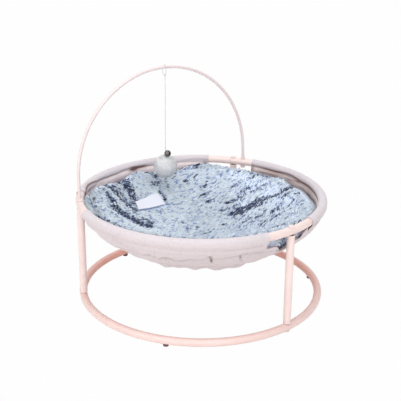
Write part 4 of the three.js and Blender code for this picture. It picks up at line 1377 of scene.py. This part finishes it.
def lock_shape():
    """One lock of pile: a three-sided spike, 1 long, that bends over forwards."""
    lock = bmesh.new()
    bmesh.ops.create_cone(lock, cap_ends=False, segments=3, radius1=0.5, radius2=0.0, depth=1)
    bmesh.ops.translate(lock, verts=lock.verts, vec=(0, 0, 0.5))
    bmesh.ops.bisect_plane(lock, geom=lock.verts[:] + lock.edges[:] + lock.faces[:], plane_co=(0, 0, 0.5),
                           plane_no=(0, 0, 1))
    bmesh.ops.remove_doubles(lock, verts=lock.verts, dist=1e-4)
    for vert in lock.verts:
        if 0.4 < vert.co.z < 0.6:
            vert.co.x, vert.co.y = vert.co.x * 1.7, vert.co.y * 1.7
    return lock


def flow_at(x, y):
    """Which way the pile lies, as an angle: along the creases on each side and about across between."""
    right = np.clip(x / 0.08, 0, 1)
    left = np.clip((-0.07 - x) / 0.05, 0, 1)
    return math.radians(15) + right * math.radians(25) - left * math.radians(73)


def noise_at(x, y, turn, long, wide, seed):
    """Streaky noise at points: long along turn and wide across it."""
    along = (x * np.cos(turn) + y * np.sin(turn)) / long
    across = (-x * np.sin(turn) + y * np.cos(turn)) / wide
    return np.array([noise.noise(Vector((a, b, seed))) for a, b in zip(along, across)])


# The label's corners on the mat, left far, right far, right near and left near, in metres
LABEL_CORNERS = ((-0.125, 0.041), (-0.0838, 0.076), (-0.068, 0.0455), (-0.1168, 0.009))


def in_label(x, y, margin):
    """Which points lie under the label."""
    inside = np.ones(len(x), bool)
    for (ax, ay), (bx, by) in zip(LABEL_CORNERS, LABEL_CORNERS[1:] + LABEL_CORNERS[:1]):
        away = ((x - ax) * (by - ay) - (y - ay) * (bx - ax)) / math.hypot(bx - ax, by - ay)
        inside &= away > -margin
    return inside


def scattered(made, count, rng, keep):
    """Points spread evenly over a mesh's faces, with the faces' normals, where keep allows the face."""
    mesh = made.data
    mesh.calc_loop_triangles()
    corners = read(mesh.vertices, "co")
    a, b, c = corners[read(mesh.loop_triangles, "vertices", np.int32)].swapaxes(0, 1)
    normal = np.cross(b - a, c - a)
    area = np.linalg.norm(normal, axis=1)
    normal = normal / np.maximum(area, 1e-15)[:, None]
    area = area * keep((a + b + c) / 3, normal)
    picked = rng.choice(len(area), size=count, p=area / area.sum())
    r1, r2 = np.sqrt(rng.random(count)), rng.random(count)
    points = (a[picked] * (1 - r1)[:, None] + b[picked] * (r1 * (1 - r2))[:, None]
              + c[picked] * (r1 * r2)[:, None])
    return points, normal[picked]


def pile_half(name, points, normals, rng):
    """Locks of pile at points: pale with grey-blue streaks, navy where the mat is creased, partly as painted
    shade, dark in the hollow by the front leg as painted shade, and paler on the left and low in the notches
    as painted light.
    """
    m = sizes("bed_mat")
    x, y = points[:, 0], points[:, 1]
    count, radius, angle = len(points), np.hypot(x, y), np.arctan2(y, x)
    lie = flow_at(x, y)
    # Seen from low in front the mat is foreshortened, and real clumps are as much longer that way
    slant = np.arctan2(0.4 * np.sin(lie), np.cos(lie))
    turn = lie + rng.normal(0, 0.4, count) + 0.7 * noise_at(x, y, 0, 0.03, 0.03, 5.0)
    flow = np.stack([np.cos(turn), np.sin(turn), np.zeros(count)], axis=1)
    edge = np.clip((radius - 0.19) / 0.014, 0, 1) * (y < 0)
    outward = np.stack([np.cos(angle), np.sin(angle), np.zeros(count)], axis=1)
    flow = flow * (1 - 0.7 * edge)[:, None] + outward * (0.7 * edge)[:, None]
    length = m.lock_length * rng.uniform(0.7, 1.2, count) * (1 + 0.6 * edge)
    below = points[:, 2] < 0.184
    hidden = (radius > 0.19) & below
    length = length * np.where(hidden, 0.5, 1)
    lean = np.clip(rng.normal(0.72, 0.09, count) - 0.25 * edge, 0.1, 0.9)
    ups = normals * (1 - lean)[:, None] + flow * lean[:, None]
    # What shows of a lock is its tip, so its colour is the one that belongs where the tip lies
    x, y = x + flow[:, 0] * lean * length * 0.7, y + flow[:, 1] * lean * length * 0.7
    low = y * 0.4
    streak = noise_at(x, low, slant, 0.008, 0.0018, 1.0)
    patch = noise_at(x, low, slant, 0.045, 0.012, 9.0)
    speck = noise_at(x, low, slant, 0.0048, 0.0021, 3.0)
    dark = crease_dark(x, y)
    width = m.lock_width * rng.uniform(0.7, 1.3, count)
    places = frames_from(points - normals * 0.0006, ups, flow, np.stack([width, width, length], axis=1))
    source = lock_shape()
    source.verts.ensure_lookup_table()
    height = np.array([vert.co.z for vert in source.verts])
    # Navy along the creases, partly the dark roots where the pile parts and partly painted shade
    navy = np.clip((dark * 1.25 - 0.4 + 1.6 * speck) * 3, 0, 1) * np.clip(dark * 4, 0, 1)
    # Painted shade: the locks in the hollow beside the front leg are painted dark
    tipped = np.degrees(np.arctan2(y, x)) % 360
    pit = np.exp(-((tipped - PIT_TURN) / PIT_HALF) ** 4) * (radius > 0.17) * below
    # The pile parts more often where the creases lie close together
    busy = (np.exp(-((x - 0.11) / 0.08) ** 2 - ((y - 0.05) / 0.09) ** 2)
            + 0.6 * np.exp(-((x + 0.14) / 0.05) ** 2 - ((y - 0.03) / 0.07) ** 2))
    grey = np.clip((streak * 1.2 + 0.25 * patch - 0.22 + 0.1 * busy) * 4.5, 0, 0.6 + 0.26 * busy)
    tone = 1 - np.maximum(navy * 0.95, grey * (1 - hidden))
    tone = np.clip(tone + rng.normal(0, 0.04, count), 0.02, 1) * (1 - pit)
    # Painted light: the locks on the left, which lie less lit, are painted paler down to the root, and the
    # locks low in the notches, which lie in shade, are painted pale all along and without streaks
    leftward = np.clip(-x / 0.1, 0, 1)
    root = np.where(hidden, 1, 0.75 + 0.24 * leftward)
    pale = tone[:, None] * np.clip(root[:, None] + 0.6 * height[None, :], 0, 1)
    shading = normals + 0.22 * rng.normal(0, 1, points.shape) + 0.15 * ups
    shading += leftward[:, None] * np.array([0.1, -0.35, 0.5])[None, :]
    copies(name, source, places, {"pale": pale}, kept(pile_material),
           shading=unit(shading))


class BED_OT_mat(bpy.types.Operator):
    """Builds the plush mat, settles it as cloth and covers it with locks of pile"""

    bl_idname = "bed.mat"
    bl_label = "Plush mat"

    def execute(self, context):
        m = sizes("bed_mat")
        made = piece("mat_cushion", mat_block(), kept(backing_material),
                     replaced=["plush_mat"], sharp=180)
        settle(made)
        smoothed(made, 1)
        rng = np.random.default_rng(7)

        def keep(spot, normal):
            side = np.hypot(spot[:, 0], spot[:, 1]) > 0.18
            turns = np.degrees(np.arctan2(spot[:, 1], spot[:, 0])) % 360
            hem = np.interp(turns, range(361), kept(hems))
            shown = (normal[:, 2] > -0.5) & (spot[:, 2] > np.where(side, hem, 0.12))
            return shown * (0.3 + 0.7 * np.clip(normal[:, 2] * 2 + 0.3, 0, 1))

        for half, side in (("left", -1), ("right", 1)):
            points, normals = scattered(made, m.locks, rng, lambda spot, normal: keep(spot, normal)
                                        * (spot[:, 0] * side > 0))
            open_ground = ~in_label(points[:, 0], points[:, 1], 0.0005)
            pile_half(f"mat_pile_{half}", points[open_ground], normals[open_ground], rng)
        return {"FINISHED"}


class BED_OT_label(bpy.types.Operator):
    """Builds the bare label that is sewn on the mat"""

    bl_idname = "bed.label"
    bl_label = "Label"

    def execute(self, context):
        m = sizes("bed_mat")
        corners = [Vector((x, y, 0)) for x, y in LABEL_CORNERS]
        context.view_layer.update()
        cushion = bpy.data.objects["mat_cushion"]
        near = 0.005

        def mat_height(x, y):
            found, spot, _, _ = cushion.ray_cast(Vector((x, y, 0.3)), Vector((0, 0, -1)))
            return spot.z if found else float(mat_top(x, y))

        def place(across, along):
            spot = corners[0].lerp(corners[1], across).lerp(corners[3].lerp(corners[2], across), 1 - along)
            around = [mat_height(spot.x + a, spot.y + b) for a in (-near, 0, near) for b in (-near, 0, near)]
            spot.z = 0.5 * max(around) + 0.5 * sum(around) / len(around) + m.pile + 0.001
            return spot

        cloth = lattice(36, 20, place, (m.label_length, m.label_width))
        made = piece("woven_label", thicken(cloth, 0.0006), kept(label_cloth),
                     replaced=["mat_label"], sharp=60)
        for row, across in (("near", 0.04), ("far", 0.96)):
            line = [place(across, 0.06 + 0.88 * k / 20) + UP * 0.0002 for k in range(21)]
            stitches(f"label_stitches_{row}", line, [UP] * 21, 0.0022, 0.0008, 0.0003)
        return {"FINISHED"}


# Toy


def hang_place():
    """Where the toy hangs on the arch's middle line."""
    f, t = sizes("bed_frame"), sizes("bed_toy")
    height = f.rim_height + f.arch_straight + f.arch_rise * math.sqrt(1 - (t.aside / arch_reach()) ** 2)
    return arch_point(t.aside, height)


LOOP_ROUTE = (
    # The loop's way round the rod: aside of the rod's middle line, and above it, in metres
    (-0.0042, 0.0004), (-0.0034, -0.006), (-0.0007, -0.0134), (0.0034, -0.0156), (0.0076, -0.012),
    (0.0084, -0.0054), (0.0053, 0.0016), (0.0006, 0.0041), (-0.003, 0.0031),
)


def rounded(points, steps):
    """A closed smooth line through points."""
    line, count = [], len(points)
    for k in range(count):
        a, b, c, d = (points[(k + n - 1) % count] for n in range(4))
        for step in range(steps):
            t = step / steps
            line.append(0.5 * (2 * b + (c - a) * t + (2 * a - 5 * b + 4 * c - d) * t ** 2
                               + (3 * b - a - 3 * c + d) * t ** 3))
    return line + [line[0].copy()]


def twisted(line, radius, size, closed=False):
    """A cord of three plies: its section has three lobes that turn along the line."""
    runs = np.concatenate([[0], np.cumsum([(b - a).length for a, b in zip(line, line[1:])])])
    turns = round(runs[-1] / 0.0045) * FULL_TURN / runs[-1] / 3

    def radius_at(k, turn):
        return radius * (0.9 + 0.12 * math.cos(3 * turn))

    return along_line(line, 12, radius_at, size, turn_at=lambda k: runs[k] * turns, closed=closed)


class BED_OT_toy(bpy.types.Operator):
    """Builds the cord, its loop and knot, the bell and the pompom"""

    bl_idname = "bed.toy"
    bl_label = "Hanging toy"

    def execute(self, context):
        t, f = sizes("bed_toy"), sizes("bed_frame")
        hang = hang_place()
        feet = arch_feet()
        across = UP.cross((feet[0] - feet[1]).normalized()).normalized()
        points = [hang + across * aside + Vector((0, 0, up)) for aside, up in LOOP_ROUTE]
        line = rounded(points, 12)
        lowest = min(range(len(line)), key=lambda k: line[k].z)
        line = line[lowest:-1] + line[:lowest + 1]
        length = sum((b - a).length for a, b in zip(line, line[1:]))
        knot_middle = Vector((hang.x, hang.y, hang.z - t.knot_drop))
        loop = twisted(line, t.cord_radius, (length, 0.0047), closed=True)
        # The knot is a trefoil, which goes round twice while it passes three times over and under itself
        way_round, half_high, strand = 0.0011, 0.0007, 0.0006
        turns = [k * 2 * FULL_TURN / 60 for k in range(61)]
        knot_line = [knot_middle + polar(turn, way_round * (1 + 0.35 * math.cos(1.5 * turn)),
                                         half_high * math.sin(1.5 * turn)) for turn in turns]
        knot = along_line(knot_line, 8, lambda k, turn: strand, (0.02, 0.004), closed=True)
        made = piece("toy_cord_loop", joined([loop, knot]), kept(cord_material),
                     body="toy_loop", replaced=["toy_loop"], sharp=60)
        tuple(line[0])

        top = knot_middle.z - t.knot_radius - f.seat_gap
        bottom = top - t.cord_length
        sunk = 0.0015
        line = [Vector((hang.x, hang.y, top + sunk - (t.cord_length + sunk) * k / 150)) for k in range(151)]
        cord = cap_ends(twisted(line, t.cord_radius, (t.cord_length, 0.0047)))
        cord = piece("toy_hanging_cord", cord, kept(cord_material), body="toy",
                     replaced=["toy_cord"], sharp=60)

        pompom_middle = Vector((hang.x, hang.y, bottom - f.seat_gap - t.pompom_radius))
        ball = bmesh.new()
        bmesh.ops.create_icosphere(ball, subdivisions=5, radius=t.pompom_radius * 0.92)
        for vert in ball.verts:
            vert.co *= 1 + 0.03 * noise.noise(vert.co * 110)
            vert.co += pompom_middle
        for face in ball.faces:
            face.smooth = True
        pompom = piece("fleece_pompom", ball, kept(fleece_material), body="toy",
                       replaced=["pompom"], sharp=180)
        rng = np.random.default_rng(11)
        points, normals = scattered(pompom, t.pompom_locks, rng, lambda spot, normal: np.ones(len(spot)))
        ways = normals + rng.normal(0, 0.6, points.shape)
        fronts = rng.normal(0, 1, points.shape)
        count = len(points)
        scales = np.stack([rng.uniform(0.0009, 0.0016, count)] * 2
                          + [t.pompom_radius * rng.uniform(0.1, 0.19, count)], axis=1)
        shading = unit(normals + rng.normal(0, 0.06, points.shape))
        places = frames_from(points - normals * 0.0008, ways, fronts, scales)
        locks = copies("pompom_fibres", lock_shape(), places, {}, kept(fleece_material),
                       body="toy", shading=shading)

        far = t.pompom_radius + f.seat_gap + t.bell_radius
        eye_radius = 0.0017
        reach = t.bell_radius + eye_radius
        height = pompom_middle.z + math.sqrt(far ** 2 - reach ** 2)
        side = Vector((0.57, -0.82, 0)).normalized()
        bell_middle = Vector((hang.x, hang.y, height)) + side * reach
        # The two halves are crimped together in a fine rib round the middle
        rib, rows, sheet_metal, wire = 0.0002, 22, 0.0004, 0.0005
        shell = turned([(0, -t.bell_radius)] + [
            (t.bell_radius * math.sin(math.pi * k / rows) + (rib if 2 * k == rows else 0),
             -t.bell_radius * math.cos(math.pi * k / rows)) for k in range(1, rows)] + [(0, t.bell_radius)],
            36, Vector((0, 0, 0)))
        # The slot lies in the plane through the eye and opens on the side away from it
        half_slot, slot_end = 0.0006, 0.0022
        slot = [face for face in shell.faces if abs(face.calc_center_median().y) < half_slot
                and face.calc_center_median().x > slot_end]
        bmesh.ops.delete(shell, geom=slot, context="FACES")
        bmesh.ops.solidify(shell, geom=shell.faces[:], thickness=sheet_metal)
        eye_line = [Vector((-reach, 0, 0)) + polar(FULL_TURN * k / 24, eye_radius, 0) for k in range(25)]
        eye = along_line(eye_line, 10, lambda k, turn: wire, (0.01, 0.003), closed=True)
        turn = Matrix.Rotation(math.atan2(side.y, side.x), 4, "Z")
        bell = joined([shell, eye])
        bmesh.ops.transform(bell, matrix=Matrix.Translation(bell_middle) @ turn, verts=bell.verts)
        bell = piece("jingle_bell", bell, kept(bell_material), body="toy",
                     replaced=["bell_shell"], sharp=50)
        pellet = refinish("bell_pellet", kept(zinc_material))
        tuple(line[0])
        return {"FINISHED"}


# Stage


def seen_apart(tree, lighting, seen, output):
    """The camera sees one shader and everything else the other."""
    camera_ray = add(tree, "LightPath", out="Is Camera Ray")
    mix = add(tree, "MixShader", inputs={0: camera_ray, 1: lighting, 2: seen})
    tree.links.new(mix, tree.nodes[output].inputs["Surface"])


class BED_OT_stage(bpy.types.Operator):
    """Sets up the floor, the lights, the world and the camera"""

    bl_idname = "bed.stage"
    bl_label = "Stage"

    def execute(self, context):
        scene = context.scene
        scene.view_settings.view_transform = "Standard"
        # The camera stands where the photograph was taken from; its focal length is in pixels of 401
        camera = bpy.data.objects.new("camera", bpy.data.cameras.new("camera"))
        scene.collection.objects.link(camera)
        ahead = Vector((-0.000842, 0.936029, -0.351921))
        right = Vector((0.99995631, 0.00406466, 0.00841788))
        up = Vector((-0.00930982, 0.35189859, 0.93599183))
        turn = Matrix((right, up, -ahead)).transposed().to_4x4()
        camera.matrix_world = Matrix.Translation((0, -1.55398, 0.76685)) @ turn
        camera.data.sensor_width = 36
        camera.data.lens = 899.477 / 401 * camera.data.sensor_width
        scene.camera = camera

        floor_mesh = bmesh.new()
        bmesh.ops.create_circle(floor_mesh, cap_ends=True, segments=64, radius=6)
        mesh = bpy.data.meshes.new("studio_floor")
        floor_mesh.to_mesh(mesh)
        floor_mesh.free()
        floor = bpy.data.objects.new("studio_floor", mesh)
        scene.collection.objects.link(floor)
        # Seamless paper: the camera sees it blown out to white, and the bed sees a pale floor
        paper, tree = material("seamless_paper")
        grain = add(tree, "TexNoise", inputs={"Scale": 30.0})
        stops = [(0.3, "f9f1ee"), (0.7, "fdf6f3")]
        add(tree, "ValToRGB", inputs={"Fac": grain}, stops=stops, to="Base Color")
        white = add(tree, "Emission", inputs={"Color": srgb("fefefe"), "Strength": 1.0})
        seen_apart(tree, tree.nodes["Principled BSDF"].outputs[0], white, "Material Output")
        mesh.materials.append(paper)

        world = bpy.data.worlds.new("studio")
        scene.world = world
        world.use_nodes = True
        tree = world.node_tree
        soft = tree.nodes["Background"]
        soft.inputs["Color"].default_value = srgb("f4f6fa")
        soft.inputs["Strength"].default_value = 0.78
        back = add(tree, "Background", inputs={"Color": srgb("fefefe"), "Strength": 1.0})
        seen_apart(tree, soft.outputs[0], back, "World Output")

        for name, spot, width, power in (
            ("key", (0.4, -1.0, 1.6), 1.4, 6), ("fill", (-1.2, -1.2, 1.0), 1.4, 7.5),
            ("low", (0.3, -1.9, 0.25), 1.4, 6), ("top", (-0.3, -0.1, 1.9), 1.4, 7.2),
            ("back", (0.3, 1.3, 1.5), 1.2, 3),
        ):
            light = bpy.data.lights.new(name, "AREA")
            light.shape, light.size, light.energy = "DISK", width, power
            lamp = bpy.data.objects.new(name, light)
            scene.collection.objects.link(lamp)
            lamp.location = spot
            lamp.rotation_euler = (Vector((0, 0, 0.15)) - Vector(spot)).to_track_quat("-Z", "Y").to_euler()
        return {"FINISHED"}


STEPS = (BED_OT_stage, BED_OT_toy, BED_OT_tubes, BED_OT_fittings, BED_OT_arch, BED_OT_sleeves, BED_OT_bowl,
         BED_OT_mat, BED_OT_label)


class BED_PT_panel(bpy.types.Panel):
    """Lists the steps that build the bed and the sizes that they use"""

    bl_label = "Pet Bed"
    bl_idname = "BED_PT_panel"
    bl_space_type = "VIEW_3D"
    bl_region_type = "UI"
    bl_category = "Pet Bed"

    def draw(self, context):
        for step in STEPS:
            self.layout.operator(step.bl_idname)
        for group in GROUPS:
            settings = getattr(context.scene, group)
            box = self.layout.box()
            for key in settings.bl_rna.properties.keys():
                if key not in ("rna_type", "name"):
                    box.prop(settings, key)


def register():
    for kind in (*GROUPS.values(), *STEPS, BED_PT_panel):
        bpy.utils.register_class(kind)
    for key, kind in GROUPS.items():
        setattr(bpy.types.Scene, key, bpy.props.PointerProperty(type=kind))


def unregister():
    for key in GROUPS:
        delattr(bpy.types.Scene, key)
    for kind in (BED_PT_panel, *STEPS, *GROUPS.values()):
        bpy.utils.unregister_class(kind)


def main():
    register()
    for step in STEPS:
        group, _, name = step.bl_idname.partition(".")
        getattr(getattr(bpy.ops, group), name)()


if __name__ == "__main__":
    main()
